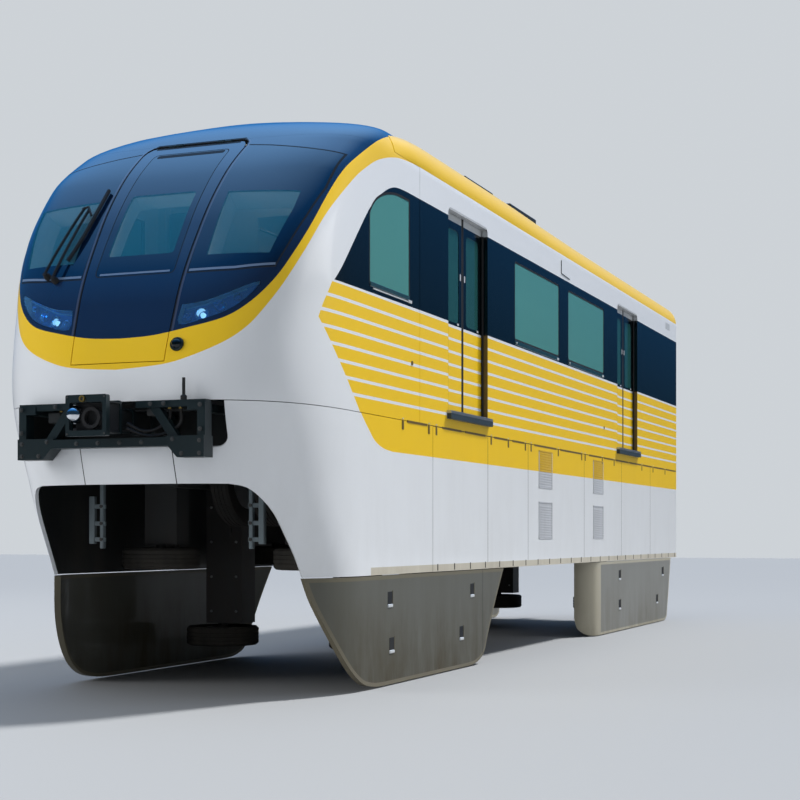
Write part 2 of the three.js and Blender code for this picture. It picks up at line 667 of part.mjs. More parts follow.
function bogieFrame(at) {
  const parts = [
    box(at - 180, at + 180, -660, 660, 400, 650),
    cylinder(170, [at, 0, 640], [at, 0, FLOOR_BOTTOM_Z - TOUCH], 20),
  ];
  for (const side of [-1, 1]) {
    const span = (a, b) => [Math.min(side * a, side * b), Math.max(side * a, side * b)];
    parts.push(box(at - 1560, at + 1560, ...span(440, 640), 360, 650));
    parts.push(box(at + side * 1430 - 90, at + side * 1430 + 90, -640, 640, 400, 620));
    parts.push(box(at - 150, at + 150, ...span(500, 900), STABILISER_Z + 130, 640));
    const wheelY = side * GUIDE_Y;
    parts.push(wheelPin(at, wheelY, STABILISER_Z));
    for (const end of [-1, 1]) {
      const x = at + end * GUIDE_OFFSET;
      parts.push(box(x - 120, x + 120, ...span(560, 900), GUIDE_Z + 130, 420));
      parts.push(wheelPin(x, wheelY, GUIDE_Z));
    }
  }
  let frame = join(parts);
  for (const end of [-1, 1]) {
    const x = at + end * AXLE_OFFSET;
    frame = frame.subtract(
      cylinder(JOURNAL_RADIUS + 1, [x, -700, RUNNING_RADIUS], [x, 700, RUNNING_RADIUS], 24),
    );
  }
  return frame;
}

function buildBogies() {
  for (const [name, at] of [["front", BOGIE_X], ["rear", -BOGIE_X]]) {
    add(`bogie_frame_${name}`, bogieFrame(at), STEEL);
    for (const [end, sign] of [["fore", 1], ["aft", -1]]) {
      const centre = [at + sign * AXLE_OFFSET, 0, RUNNING_RADIUS];
      add(`wheelset_${name}_${end}`, turned(axleProfile, "y", centre, 24), RUBBER);
    }
    for (const [side, ySign] of [["left", 1], ["right", -1]]) {
      for (const [end, sign] of [["fore", 1], ["aft", -1]]) {
        const centre = [at + sign * GUIDE_OFFSET, ySign * GUIDE_Y, GUIDE_Z];
        add(`guide_wheel_${name}_${side}_${end}`, turned(sideWheelProfile, "z", centre, 16), RUBBER);
      }
      const centre = [at, ySign * GUIDE_Y, STABILISER_Z];
      add(`stabilising_wheel_${name}_${side}`, turned(sideWheelProfile, "z", centre, 16), RUBBER);
    }
  }
}

buildFloor();
buildCab();
buildLowerNose();
buildWalls();
buildGlazing();
buildDoors();
buildSkirts();
buildEnds();
buildRoofUnits();
buildInterior();
buildBogies();

export default car;
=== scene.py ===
"""Looks of a straddle monorail's lead car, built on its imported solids."""

import functools
import math
from collections import namedtuple

import bpy
import numpy as np
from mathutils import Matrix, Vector, geometry


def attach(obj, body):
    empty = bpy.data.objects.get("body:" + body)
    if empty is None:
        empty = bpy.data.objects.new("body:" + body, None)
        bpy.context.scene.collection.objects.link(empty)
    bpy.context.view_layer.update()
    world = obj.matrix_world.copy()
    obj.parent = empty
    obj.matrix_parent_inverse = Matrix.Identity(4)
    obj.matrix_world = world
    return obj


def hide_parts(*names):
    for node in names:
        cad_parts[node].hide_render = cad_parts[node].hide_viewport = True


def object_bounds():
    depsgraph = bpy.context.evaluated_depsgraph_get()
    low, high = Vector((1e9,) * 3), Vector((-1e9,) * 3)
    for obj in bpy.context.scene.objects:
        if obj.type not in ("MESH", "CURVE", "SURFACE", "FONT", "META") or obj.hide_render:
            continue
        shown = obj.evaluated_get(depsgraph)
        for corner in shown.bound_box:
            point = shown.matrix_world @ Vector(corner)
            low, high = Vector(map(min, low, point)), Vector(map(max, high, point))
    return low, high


bl_info = {
    "name": "Monorail Lead Car",
    "version": (1, 0, 0),
    "blender": (4, 5, 0),
    "location": "View3D > Sidebar > Monorail",
    "description": "Builds the panels, glass, doors, wheels and fittings of a monorail lead car",
    "category": "Add Mesh",
}

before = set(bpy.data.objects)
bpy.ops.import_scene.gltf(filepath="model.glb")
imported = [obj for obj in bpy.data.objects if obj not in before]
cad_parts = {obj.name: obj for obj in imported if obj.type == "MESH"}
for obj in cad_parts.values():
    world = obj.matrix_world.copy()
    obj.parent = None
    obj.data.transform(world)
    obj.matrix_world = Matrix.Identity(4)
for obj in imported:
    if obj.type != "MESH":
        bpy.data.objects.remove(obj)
CAD_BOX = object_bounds()

# Sizes in metres, as in the part's source
HALF_WIDTH = 1.45
SHOULDER_Z = 3.38
CORNER_RADIUS = 0.36
CORNER_TURN = math.radians(72)
CORNER_TOP_Z = SHOULDER_Z + CORNER_RADIUS * math.sin(CORNER_TURN)
CROWN_HALF = HALF_WIDTH - CORNER_RADIUS * (1 - math.cos(CORNER_TURN))
CROWN_Z = 3.82
SEAM_Z = 0.99
SKIRT_Z = -0.44
BOGIE_SKIRT_Z = (-1.44, -0.447)
REAR_X = -7.3
CAB_JOINT_X = 4.85
SKIRT_JOINT_X = 4.49
FLOOR_TOP_Z = 1.151
DOOR_TOP_Z = 3.22
DOOR_HALF = 0.635
LEAF_Y = (1.35, 1.382)
DOORS = {"front": 3.405, "rear": -3.78}
WINDOWS = {"front": (-0.08, 1.79), "rear": (-2.36, -0.5)}
WINDOW_Z = (2.13, 3.03)
BOGIES = {"front": 4.6, "rear": -4.6}
AXLE_OFFSET = 0.75
AXLE_Z = 0.503
GUIDE_OFFSET = 1.25
SIDE_WHEEL_Y = 0.79
GUIDE_Z = -0.3
STABILISING_Z = -1.1
HINGE_X = 6.545
HINGE_Z = 3.398
COUPLER_FACE_X = 8.414
BUMPER_FACE_X = 8.079
BENCH_BACK_Y = 1.3188
ROOF_UNITS = [(0.9, 1.9), (-0.9, 0.2)]
ROOF_UNIT_TOP_Z = 3.9345
GANGWAY_X = (-7.5053, -7.3003)
CLIP_Y = (1.449, 1.4545)
SIDES = {"left": 1, "right": -1}
ENDS = {"fore": 1, "aft": -1}
AHEAD = (1, 0, 0)
BACK = (-1, 0, 0)
ACROSS = (0, 1, 0)
UP = (0, 0, 1)

# Horizontal sections of the nose
NoseRow = namedtuple("NoseRow", "z tip side power")
NOSE = [
    NoseRow(-0.44, 7.45, 6.2, 2.4),
    NoseRow(0.3, 7.87, 6.2, 2.7),
    NoseRow(1.0, 8.0, 6.2, 3.4),
    NoseRow(1.8, 7.8, 6.2, 4.2),
    NoseRow(2.5, 7.42, 6.3, 5.3),
    NoseRow(3.0, 7.02, 6.13, 5.3),
    NoseRow(3.38, 6.565, 5.72, 4.2),
    NoseRow(3.6, 6.215, 5.56, 2.5),
    NoseRow(3.74, 5.825, 5.05, 2.0),
    NoseRow(3.82, 5.51, 4.9, 2.1),
]
NOSE_TOP = 3.8198

# Paint scheme: heights on the side, and outlines seen from the front (y, z) or the side (x, z)
BAND_Z = (2.069, 3.13)
CANT_STRIPE_Z = (3.44, 3.43)
YELLOW_FOOT_Z = 0.68
FOOT_TRIM_Z = (-0.5, -0.37)
LINE_TOP_Z = 2.055
MASK_FRONT = [(0, 1.51), (0.3, 1.525), (0.6, 1.58), (0.87, 1.65), (1.04, 1.76), (1.18, 1.93), (1.28, 2.14)]
MASK_SIDE = [(7.15, 2.51), (6.73, 2.96), (6.32, 3.23), (5.84, 3.47), (5.35, 3.62), (4.85, 3.705)]
STRIPE_FRONT = [(0, 1.25), (0.41, 1.28), (0.65, 1.34), (0.9, 1.45), (1.06, 1.58), (1.17, 1.75), (1.27, 1.96)]
STRIPE_SIDE = [
    (7.28, 2.25), (6.99, 2.59), (6.64, 2.87), (6.24, 3.12), (5.86, 3.29), (5.4, 3.4), (4.85, 3.44),
]
CHEEK = [
    (4.8, 2.069), (6.9, 2.055), (7.06, 1.84), (7.13, 1.72), (7.0, 1.6), (6.87, 1.48), (6.61, 1.25),
    (6.33, 0.99), (4.8, 0.99),
]
CHEEK_FOOT = [(6.33, 1.0), (6.24, 0.93), (6.13, 0.85), (5.98, 0.755), (5.78, 0.7), (5.55, 0.68)]
BAND_TIP = [
    (6.87, 2.06), (6.75, 2.165), (6.635, 2.278), (6.393, 2.525), (6.144, 2.771), (6.004, 2.877),
    (5.861, 2.968), (5.667, 3.061), (5.468, 3.115), (5.2, 3.13),
]
FRONT_DOOR = [(0.43, 1.31), (0.5, 3.383)]
FRONT_DOOR_GAP = 0.007
CAP_Z = 3.41
PANE_DEPTH = 0.016
LAMP = [
    (0.51, 1.775), (0.7, 1.8), (0.9, 1.87), (1.12, 1.96), (1.04, 1.82), (0.9, 1.71), (0.72, 1.645),
    (0.51, 1.605),
]
SCREEN_ZONE = [
    (0.52, 3.32), (0.75, 3.29), (0.98, 3.25), (1.2, 3.21), (1.4, 3.18), (1.385, 2.82), (1.33, 2.54),
    (1.26, 2.28), (1.2, 2.09), (0.9, 2.06), (0.5, 2.055),
]
SCREEN_CLEAR = [(0.62, 2.8), (1.25, 2.77), (1.24, 2.6), (1.15, 2.2), (0.63, 2.2)]
SCREEN_STRIP = [(0.51, 2.062), (0.9, 2.066), (1.205, 2.098), (1.205, 2.118), (0.9, 2.086), (0.51, 2.082)]
CAB_WINDOW_ARC = [
    (6.12, 2.76), (6.09, 2.81), (6.02, 2.88), (5.91, 2.95), (5.72, 3.02), (5.47, 3.065), (5.2, 3.07),
]
POCKET = (0.93, 0.62, 1.02, 0.09)
BEAM_OPENING = [
    (1.225, -0.6), (1.2, -0.3), (1.17, -0.1), (1.14, 0.07), (1.085, 0.2), (1.0, 0.3), (0.88, 0.33),
]
# How far the moulding on the roof's edge stands out, and how far it turns over the corner, along the car
EDGE_RISE = [
    (-7.3, 0.012), (-1.5, 0.014), (0.2, 0.024), (1.6, 0.04), (4.6, 0.042), (5.0, 0.034), (5.5, 0.001),
]
EDGE_TURNS = [(4.3, 90), (4.85, 70), (5.1, 56), (5.34, 43), (5.5, 36)]
# Low boxes on the roof's edge: each one's stretch along the car and its top
ROOF_BOXES = {(-0.41, 0.68): 3.933, (1.36, 2.35): 3.915}
# Clips along the seam between wall and skirt, and the upright seams of the skirt's panels
CLIP_TICKS = [5.3, 4.6, 4.39, 2.65, 2.03, 1.37, 1.14, -0.04, -1.17, -1.35, -2.27, -2.95, -4.72, -5.5, -6.4]
CLIP_DASHES = [
    (4.65, 5.19), (3.64, 4.22), (2.86, 3.52), (2.07, 2.54), (1.42, 1.88), (0.05, 1.01), (-1.13, -0.13),
    (-2.21, -1.56), (-2.9, -2.35), (-3.8, -3.05), (-4.65, -3.9), (-5.42, -4.8), (-6.3, -5.6), (-7.2, -6.5),
]
PANEL_SEAMS = (2.765, 1.26, -1.3, -3.4, -5.3)
# Plan of the rear bogie skirt's rounded nose, and the profiles of the bogie skirts' ends
REAR_SKIRT_PLAN = [(-1.8, 1.18), (-1.81, 1.27), (-1.87, 1.36), (-1.98, 1.425), (-2.12, 1.447), (-2.3, 1.45)]
FRONT_SKIRT_CORNER = [
    (5.75, -1.44), (6.0, -1.43), (6.25, -1.385), (6.45, -1.28), (6.62, -1.12), (6.8, -0.88),
    (6.93, -0.65), (7.0, -0.447),
]
FRONT_SKIRT_HEEL = [
    (2.2, -0.447), (2.5, -0.8), (2.77, -1.16), (2.86, -1.3), (2.98, -1.38), (3.2, -1.43), (3.45, -1.44),
]


class CarPaint(bpy.types.PropertyGroup):
    """Colours of the car's paint"""

    body: bpy.props.FloatVectorProperty(
        name="Body", description="Main body paint", subtype="COLOR", size=3, min=0, max=1,
        default=(0.74, 0.76, 0.79))
    accent: bpy.props.FloatVectorProperty(
        name="Accent", description="Stripe and door paint", subtype="COLOR", size=3, min=0, max=1,
        default=(0.86, 0.55, 0.008))
    mask: bpy.props.FloatVectorProperty(
        name="Mask", description="Paint round the windscreens", subtype="COLOR", size=3, min=0, max=1,
        default=(0.006, 0.02, 0.06))
    band: bpy.props.FloatVectorProperty(
        name="Band", description="Paint between the side windows", subtype="COLOR", size=3, min=0, max=1,
        default=(0.001, 0.004, 0.006))
    skirt: bpy.props.FloatVectorProperty(
        name="Skirt", description="Bogie skirt paint", subtype="COLOR", size=3, min=0, max=1,
        default=(0.1, 0.1, 0.082))


class CarTrim(bpy.types.PropertyGroup):
    """Sizes of the trim that is laid on the body"""

    line_step: bpy.props.FloatProperty(
        name="Line step", description="Height between two thin white lines", default=0.132, min=0.05,
        max=0.3, unit="LENGTH")
    line_width: bpy.props.FloatProperty(
        name="Line width", description="Width of a thin white line", default=0.028, min=0.005, max=0.1,
        unit="LENGTH")
    proud: bpy.props.FloatProperty(
        name="Skin height", description="How far the side skins stand off the structure", default=0.002,
        min=0.001, max=0.01, unit="LENGTH")
    clip_step: bpy.props.FloatProperty(
        name="Clip step", description="Distance between two clips along the skirt's foot", default=0.5,
        min=0.2, max=2.0, unit="LENGTH")


# Materials: shared effects as node groups, shaders in each material


def new_group(name, inputs, outputs):
    """An empty shader node group with named sockets, and the sockets of its inputs."""
    tree = bpy.data.node_groups.new(name, "ShaderNodeTree")
    for label, kind, default in inputs:
        socket = tree.interface.new_socket(label, in_out="INPUT", socket_type="NodeSocket" + kind)
        socket.default_value = default
    for label, kind in outputs:
        tree.interface.new_socket(label, in_out="OUTPUT", socket_type="NodeSocket" + kind)
    return tree, tree.nodes.new("NodeGroupInput").outputs


def feed(made, values):
    """Gives each named input of a node a plain value, or the socket that feeds it."""
    for label, value in values.items():
        if isinstance(value, bpy.types.NodeSocket):
            made.id_data.links.new(value, made.inputs[label])
        else:
            made.inputs[label].default_value = value


def node(tree, kind, values=None, **settings):
    made = tree.nodes.new(kind)
    for label, value in settings.items():
        setattr(made, label, value)
    feed(made, values or {})
    return made


def maths(tree, operation, *values, **settings):
    """What a Math node puts out."""
    return node(tree, "ShaderNodeMath", dict(enumerate(values)), operation=operation, **settings).outputs[0]


@functools.cache
def road_film_group():
    """Dust and spray that thin out with height, broken up by rain streaks."""
    tree, given = new_group(
        "Road film",
        [("Colour", "Color", (0.8, 0.8, 0.8, 1)), ("Film", "Color", (0.2, 0.17, 0.12, 1)),
         ("Low", "Float", -0.5), ("High", "Float", 1.0), ("Amount", "Float", 0.3),
         ("Roughness", "Float", 0.3)],
        [("Colour", "Color"), ("Roughness", "Float")])
    place = node(tree, "ShaderNodeTexCoord").outputs["Object"]
    up = node(tree, "ShaderNodeSeparateXYZ", {0: place}).outputs["Z"]
    height = node(tree, "ShaderNodeMapRange", {
        "Value": up, "From Min": given["Low"], "From Max": given["High"], "To Min": 1.0, "To Max": 0.0})
    stretch = node(tree, "ShaderNodeMapping", {"Vector": place, "Scale": (2.2, 2.2, 0.5)})
    streak = node(tree, "ShaderNodeTexNoise", {
        "Vector": stretch.outputs[0], "Scale": 2.2, "Detail": 6.0, "Roughness": 0.65})
    patch = node(tree, "ShaderNodeTexNoise", {"Vector": place, "Scale": 0.9, "Detail": 4.0})
    mixed = maths(tree, "MULTIPLY", streak.outputs["Fac"], patch.outputs["Fac"])
    lifted = node(tree, "ShaderNodeMapRange", {"Value": mixed, "From Min": 0.08, "From Max": 0.5})
    by_height = maths(tree, "MULTIPLY_ADD", height.outputs[0], 0.85, 0.15)
    mask = maths(tree, "MULTIPLY", lifted.outputs[0], by_height)
    share = maths(tree, "MULTIPLY", mask, given["Amount"], use_clamp=True)
    blend = node(tree, "ShaderNodeMix", {"Factor": share, "A": given["Colour"], "B": given["Film"]},
                 data_type="RGBA")
    duller = maths(tree, "MULTIPLY_ADD", share, 0.4, given["Roughness"])
    node(tree, "NodeGroupOutput", {"Colour": blend.outputs["Result"], "Roughness": duller})
    return tree


@functools.cache
def grain_group():
    """Fine relief, stretched along a direction for brushed or woven surfaces."""
    tree, given = new_group(
        "Surface grain", [("Scale", "Float", 60.0), ("Stretch", "Vector", (1.0, 1.0, 1.0))],
        [("Height", "Float")])
    place = node(tree, "ShaderNodeTexCoord").outputs["Object"]
    stretch = node(tree, "ShaderNodeMapping", {"Vector": place, "Scale": given["Stretch"]})
    fine = node(tree, "ShaderNodeTexNoise", {
        "Vector": stretch.outputs[0], "Scale": given["Scale"], "Detail": 4.0, "Roughness": 0.6})
    node(tree, "NodeGroupOutput", {"Height": fine.outputs["Fac"]})
    return tree


# What glossy paint mirrors, from the horizon up, and the pale light from everywhere
SKY_STOPS = [(0.32, (0.008, 0.02, 0.034)), (0.62, (0.02, 0.15, 0.42)), (0.86, (0.26, 0.55, 1.0))]
AIR = (0.9, 0.95, 1.0, 1)

# Film colour, its low and high end, its amount, then the relief's scale, strength and stretch
EVEN = (1, 1, 1)
Finish = namedtuple(
    "Finish", "colour roughness metallic coat film low high amount grain relief stretch", defaults=[EVEN])
DUST = (0.2, 0.17, 0.13)
SOOT = (0.01, 0.01, 0.01)
RUST = (0.1, 0.05, 0.025)
SPRAY = (0.12, 0.1, 0.06)
MUD = (0.06, 0.045, 0.018)


def finish_table(paint):
    """Every finish of the car by name."""
    rows = {
        "body_white": (paint.body, 0.32, 0, 0.35, DUST, -0.6, 1.6, 0.16, 9, 0.03),
        "accent_yellow": (paint.accent, 0.32, 0, 0.25, DUST, -0.3, 2.4, 0.1, 9, 0.03),
        "mask_navy": (paint.mask, 0.16, 0, 0.4, DUST, 1.0, 3.8, 0.02, 8, 0.02),
        "screen_frit": ((0.001, 0.01, 0.036), 0.06, 0, 0.4, DUST, 1.0, 3.4, 0.01, 5, 0.01),
        "lamp_bowl": ((0.006, 0.18, 0.54), 0.3, 0.3, 0.2, DUST, 1.0, 3.4, 0.01, 60, 0.3, (1, 12, 1)),
        "band_black": (paint.band, 0.14, 0, 0.0, DUST, 1.8, 3.3, 0.01, 8, 0.02),
        "skirt_grey": (paint.skirt, 0.42, 0.1, 0.1, MUD, -1.45, -0.6, 1.4, 14, 0.06),
        "skirt_pale": ((0.2, 0.2, 0.182), 0.42, 0.1, 0.1, SPRAY, -1.45, -0.6, 0.8, 14, 0.06),
        # A pale beige for the rear bogie skirt's rim and rounded front: painted sunlight
        "skirt_edge": ((0.38, 0.35, 0.27), 0.42, 0.0, 0.1, SPRAY, -1.45, -0.6, 0.8, 14, 0.06),
        "skirt_lip": ((0.13, 0.115, 0.075), 0.45, 0, 0, DUST, -1.5, -0.4, 0.6, 14, 0.06),
        "foot_trim": ((0.55, 0.51, 0.42), 0.4, 0, 0.1, DUST, -0.5, 0.2, 0.5, 12, 0.04),
        # The vents' white and yellow are darker copies of the body paint: painted shade of the louvres
        "vent_white": ((0.5, 0.52, 0.56), 0.4, 0, 0.2, DUST, -0.5, 1.5, 0.4, 12, 0.03),
        "vent_yellow": ((0.62, 0.38, 0.01), 0.4, 0, 0.2, DUST, -0.5, 1.5, 0.3, 12, 0.03),
        "header_grey": ((0.5, 0.52, 0.54), 0.35, 0, 0.2, SOOT, 3.0, 3.5, 0.3, 12, 0.03),
        "roof_grey": ((0.37, 0.39, 0.41), 0.5, 0, 0.1, SOOT, 3.2, 4.4, 0.45, 6, 0.08),
        "strip_light": ((0.4, 0.47, 0.56), 0.3, 0.3, 0.2, DUST, 1.8, 3.0, 0.2, 20, 0.02),
        "screen_strip": ((0.16, 0.23, 0.34), 0.3, 0.2, 0.2, DUST, 1.8, 3.0, 0.2, 20, 0.02),
        "rail_teal": ((0.01, 0.045, 0.055), 0.25, 0.0, 0.2, DUST, 1.8, 3.0, 0.1, 20, 0.02),
        "jamb_shade": ((0.13, 0.08, 0.012), 0.4, 0, 0.1, DUST, 1.0, 2.4, 0.2, 20, 0.03),
        "bolt_pale": ((0.62, 0.64, 0.66), 0.3, 0.2, 0.2, DUST, 1.0, 3.0, 0.2, 20, 0.02),
        # Near-white reveals behind the clear glass, lighter than the lining: painted sunlight on the inner
        # posts
        "reveal_painted_sunlight": ((0.86, 0.9, 0.9), 0.5, 0, 0, DUST, 1.0, 3.0, 0.1, 20, 0.02),
        # A paler band beside the windscreens' dark seal: painted highlight
        "seal_edge": ((0.035, 0.05, 0.1), 0.3, 0, 0.4, DUST, 1.0, 3.8, 0.1, 20, 0.02),
        "seam_dark": ((0.008, 0.009, 0.011), 0.7, 0, 0, DUST, -0.5, 1.5, 0.12, 30, 0.1),
        "frame_steel": ((0.006, 0.017, 0.021), 0.42, 0.2, 0.1, DUST, -0.8, 1.2, 0.14, 28, 0.12),
        "bogie_steel": ((0.06, 0.065, 0.066), 0.55, 0.3, 0, RUST, -1.3, 1.0, 0.5, 22, 0.2),
        "bracket_grey": ((0.2, 0.25, 0.27), 0.45, 0.4, 0.1, RUST, -0.5, 0.6, 0.35, 30, 0.1),
        "cast_alloy": ((0.42, 0.43, 0.44), 0.38, 0.85, 0, SOOT, -1.5, 1.2, 0.5, 40, 0.12),
        "tread_plate": ((0.5, 0.52, 0.55), 0.3, 0.9, 0, DUST, 1.0, 1.3, 0.3, 60, 0.1, (1, 14, 1)),
        "grab_steel": ((0.6, 0.61, 0.62), 0.22, 1.0, 0, DUST, 1.0, 3.5, 0.05, 50, 0.05, (1, 1, 20)),
        "chrome": ((0.72, 0.75, 0.8), 0.08, 1.0, 0, DUST, 0.5, 1.1, 0.1, 20, 0.01),
        "brass": ((0.62, 0.42, 0.12), 0.3, 1.0, 0, SOOT, 0.5, 1.1, 0.3, 30, 0.05),
        "rubber": ((0.011, 0.011, 0.012), 0.7, 0, 0, DUST, -1.2, 3.0, 0.15, 45, 0.25),
        "tyre_rubber": ((0.018, 0.018, 0.018), 0.85, 0, 0, DUST, -1.3, 1.2, 0.55, 38, 0.35),
        "tank_black": ((0.018, 0.022, 0.024), 0.5, 0.2, 0.1, DUST, -0.5, 1.1, 0.3, 18, 0.08),
        "lining_grey": ((0.56, 0.58, 0.58), 0.5, 0, 0, DUST, 1.1, 1.6, 0.3, 25, 0.05),
        "wall_lining": ((0.56, 0.58, 0.58), 0.5, 0, 0, DUST, 1.1, 1.6, 0.3, 25, 0.05),
        "floor_vinyl": ((0.16, 0.18, 0.2), 0.55, 0, 0, DUST, 1.0, 1.2, 0.4, 90, 0.12),
        "desk_black": ((0.03, 0.032, 0.036), 0.6, 0, 0, DUST, 1.2, 2.1, 0.2, 80, 0.2),
        "seat_shell": ((0.03, 0.11, 0.3), 0.48, 0, 0.1, DUST, 1.1, 1.7, 0.2, 70, 0.1),
        "seat_cloth": ((0.02, 0.07, 0.2), 0.9, 0, 0, DUST, 1.1, 1.7, 0.2, 260, 0.6, (1, 1, 1.6)),
        "bellows": ((0.03, 0.032, 0.034), 0.8, 0, 0, DUST, 0.9, 3.4, 0.35, 120, 0.3, (1, 6, 6)),
    }
    return {name: Finish(*row) for name, row in rows.items()}


# Glass: colour, roughness, how much light it bends through, and its cover where it is thin and clear
GLASSES = {
    "side_glass": ((0.1, 0.32, 0.3), 0.05, 0.25, 1.0),
    "door_glass": ((0.02, 0.1, 0.1), 0.05, 0.3, 1.0),
    "screen_glass": ((0.008, 0.15, 0.27), 0.02, 0.0, 0.45),
    "lamp_lens": ((0.22, 0.6, 1.0), 0.03, 0.92, 1.0),
}
LIGHTS = {
    "lamp_lit": ((1.0, 0.84, 0.72), 1.7),
    "ceiling_light": ((1.0, 0.97, 0.9), 1.4),
    "desk_screen": ((0.15, 0.5, 0.45), 0.8),
}
SILL_PAINT = (0.02, 0.035, 0.045, 1)


def start_material(name):
    made = bpy.data.materials.new(name)
    made.use_nodes = True
    tree = made.node_tree
    tree.nodes.clear()
    shader = node(tree, "ShaderNodeBsdfPrincipled")
    node(tree, "ShaderNodeOutputMaterial", {"Surface": shader.outputs[0]})
    return made, tree, shader


def add_relief(tree, shader, scale, stretch, strength):
    grain = node(tree, "ShaderNodeGroup", {"Scale": scale, "Stretch": stretch}, node_tree=grain_group())
    bump = node(tree, "ShaderNodeBump", {
        "Height": grain.outputs["Height"], "Strength": strength, "Distance": 0.004})
    feed(shader, {"Normal": bump.outputs[0]})


def paint_sills(tree, colour):
    """Dark paint on whatever stands out beyond the side wall's skin."""
    place = node(tree, "ShaderNodeTexCoord").outputs["Object"]
    across = node(tree, "ShaderNodeSeparateXYZ", {0: place}).outputs["Y"]
    beyond = maths(tree, "GREATER_THAN", maths(tree, "ABSOLUTE", across), HALF_WIDTH + 0.004)
    blend = node(tree, "ShaderNodeMix", {"Factor": beyond, "A": colour, "B": SILL_PAINT}, data_type="RGBA")
    return blend.outputs["Result"]


@functools.cache
def material(name):
    """The named finish as a node material, made once."""
    made, tree, shader = start_material(name)
    if name in LIGHTS:
        colour, strength = LIGHTS[name]
        feed(shader, {"Base Color": (*colour, 1), "Emission Color": (*colour, 1),
                      "Emission Strength": strength})
        add_relief(tree, shader, 40.0, EVEN, 0.05)
        return made
    if name in GLASSES:
        colour, roughness, clear, cover = GLASSES[name]
        row = Finish(colour, roughness, 0, 0, DUST, 1.5, 3.4, 0.08, 1.2, 0.02)
        feed(shader, {"Transmission Weight": clear, "IOR": 1.45, "Alpha": cover})
    else:
        row = finish_table(bpy.context.scene.car_paint)[name]
        feed(shader, {"Metallic": row.metallic, "Coat Weight": row.coat, "Coat Roughness": 0.06})
    film = node(tree, "ShaderNodeGroup", {
        "Colour": (*row.colour, 1), "Film": (*row.film, 1), "Low": row.low, "High": row.high,
        "Amount": row.amount, "Roughness": row.roughness}, node_tree=road_film_group())
    colour = film.outputs["Colour"]
    if name == "wall_lining":
        colour = paint_sills(tree, colour)
    feed(shader, {"Base Color": colour, "Roughness": film.outputs["Roughness"]})
    add_relief(tree, shader, row.grain, row.stretch, row.relief)
    return made


# Meshes: a builder that collects faces with their finishes


class Build:
    """One piece's corners and faces, each face with a finish and perhaps its own normals."""

    def __init__(self):
        self.points = []
        self.faces = []
        self.slots = []
        self.normals = []
        self.finishes = []

    def slot(self, finish):
        if finish not in self.finishes:
            self.finishes.append(finish)
        return self.finishes.index(finish)

    def add(self, points, faces, finish, normals=None):
        start = len(self.points)
        self.points.extend(tuple(point) for point in points)
        finishes = [finish] * len(faces) if isinstance(finish, str) else finish
        for face, name in zip(faces, finishes):
            self.faces.append([start + i for i in face])
            self.slots.append(self.slot(name))
            for i in face:
                self.normals.append(tuple(normals[i]) if normals else (0.0, 0.0, 0.0))

    def solid(self, points, faces, finish):
        """Adds a closed form, turned outwards whichever way its faces were given."""
        volume = 0.0
        for face in faces:
            a = Vector(points[face[0]])
            for i in range(1, len(face) - 1):
                volume += a.dot(Vector(points[face[i]]).cross(Vector(points[face[i + 1]])))
        self.add(points, faces if volume > 0 else [face[::-1] for face in faces], finish)

    def piece(self, name, replaces=(), slot=None, body="carbody", angle=35):
        mesh = bpy.data.meshes.new(name)
        mesh.from_pydata(self.points, [], self.faces)
        for finish in self.finishes:
            mesh.materials.append(material(finish))
        mesh.polygons.foreach_set("material_index", self.slots)
        mesh.polygons.foreach_set("use_smooth", [True] * len(self.faces))
        mesh.set_sharp_from_angle(angle=math.radians(angle))
        if any(any(normal) for normal in self.normals):
            mesh.normals_split_custom_set(self.normals)
        made = bpy.data.objects.new(name, mesh)
        bpy.context.scene.collection.objects.link(made)
        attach(made, body)
        if replaces:
            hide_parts(*replaces)
        return made


def around(middle, half):
    """The two ends of a stretch, from its middle and half its length."""
    return middle - half, middle + half


def box(build, finish, x, y, z, chamfer=0.004, side=1):
    """A box between two ends on each axis, y counted outwards on a side, with its edges cut back."""
    spans = [sorted(x), sorted(side * end for end in y), sorted(z)]
    points, faces, index = [], [], {}
    for corner in range(8):
        ends = [(corner >> axis) & 1 for axis in range(3)]
        for out in range(3):
            index[corner, out] = len(points)
            points.append([spans[axis][ends[axis]] + (0 if axis == out else chamfer * (1 - 2 * ends[axis]))
                           for axis in range(3)])
        faces.append([index[corner, out] for out in range(3)])
    for axis in range(3):
        one, two = [other for other in range(3) if other != axis]
        for end in (0, 1):
            ring = [end << axis | corner for corner in (0, 1 << one, 1 << one | 1 << two, 1 << two)]
            faces.append([index[corner, axis] for corner in ring])
        for first in (0, 1):
            for second in (0, 1):
                low = first << one | second << two
                high = low | 1 << axis
                faces.append([index[low, one], index[high, one], index[high, two], index[low, two]])
    middle = Vector([sum(span) / 2 for span in spans])
    turned = []
    for face in faces:
        a, b, c = (Vector(points[i]) for i in face[:3])
        outward = (a - middle).dot((b - a).cross(c - a)) > 0
        turned.append(face if outward else face[::-1])
    build.add(points, turned, finish)


def boxes(build, side, rows):
    """Boxes on one side of the car, from rows of (finish, x, y, z) and perhaps a chamfer."""
    for row in rows:
        box(build, *row, side=side)


def ring_faces(rings, count):
    """Faces between closed rings of points that follow each other."""
    faces = []
    for ring in range(rings - 1):
        for i in range(count):
            a = ring * count + i
            b = ring * count + (i + 1) % count
            faces.append([a, b, b + count, a + count])
    return faces


def capped(rings, count):
    """Faces between closed rings, and a cap at each end."""
    last = (rings - 1) * count
    return [*ring_faces(rings, count), list(range(count))[::-1], list(range(last, last + count))]


def looped(rings, count):
    """Faces between closed rings, and from the last ring back to the first."""
    return [[i % (rings * count) for i in face] for face in ring_faces(rings + 1, count)]


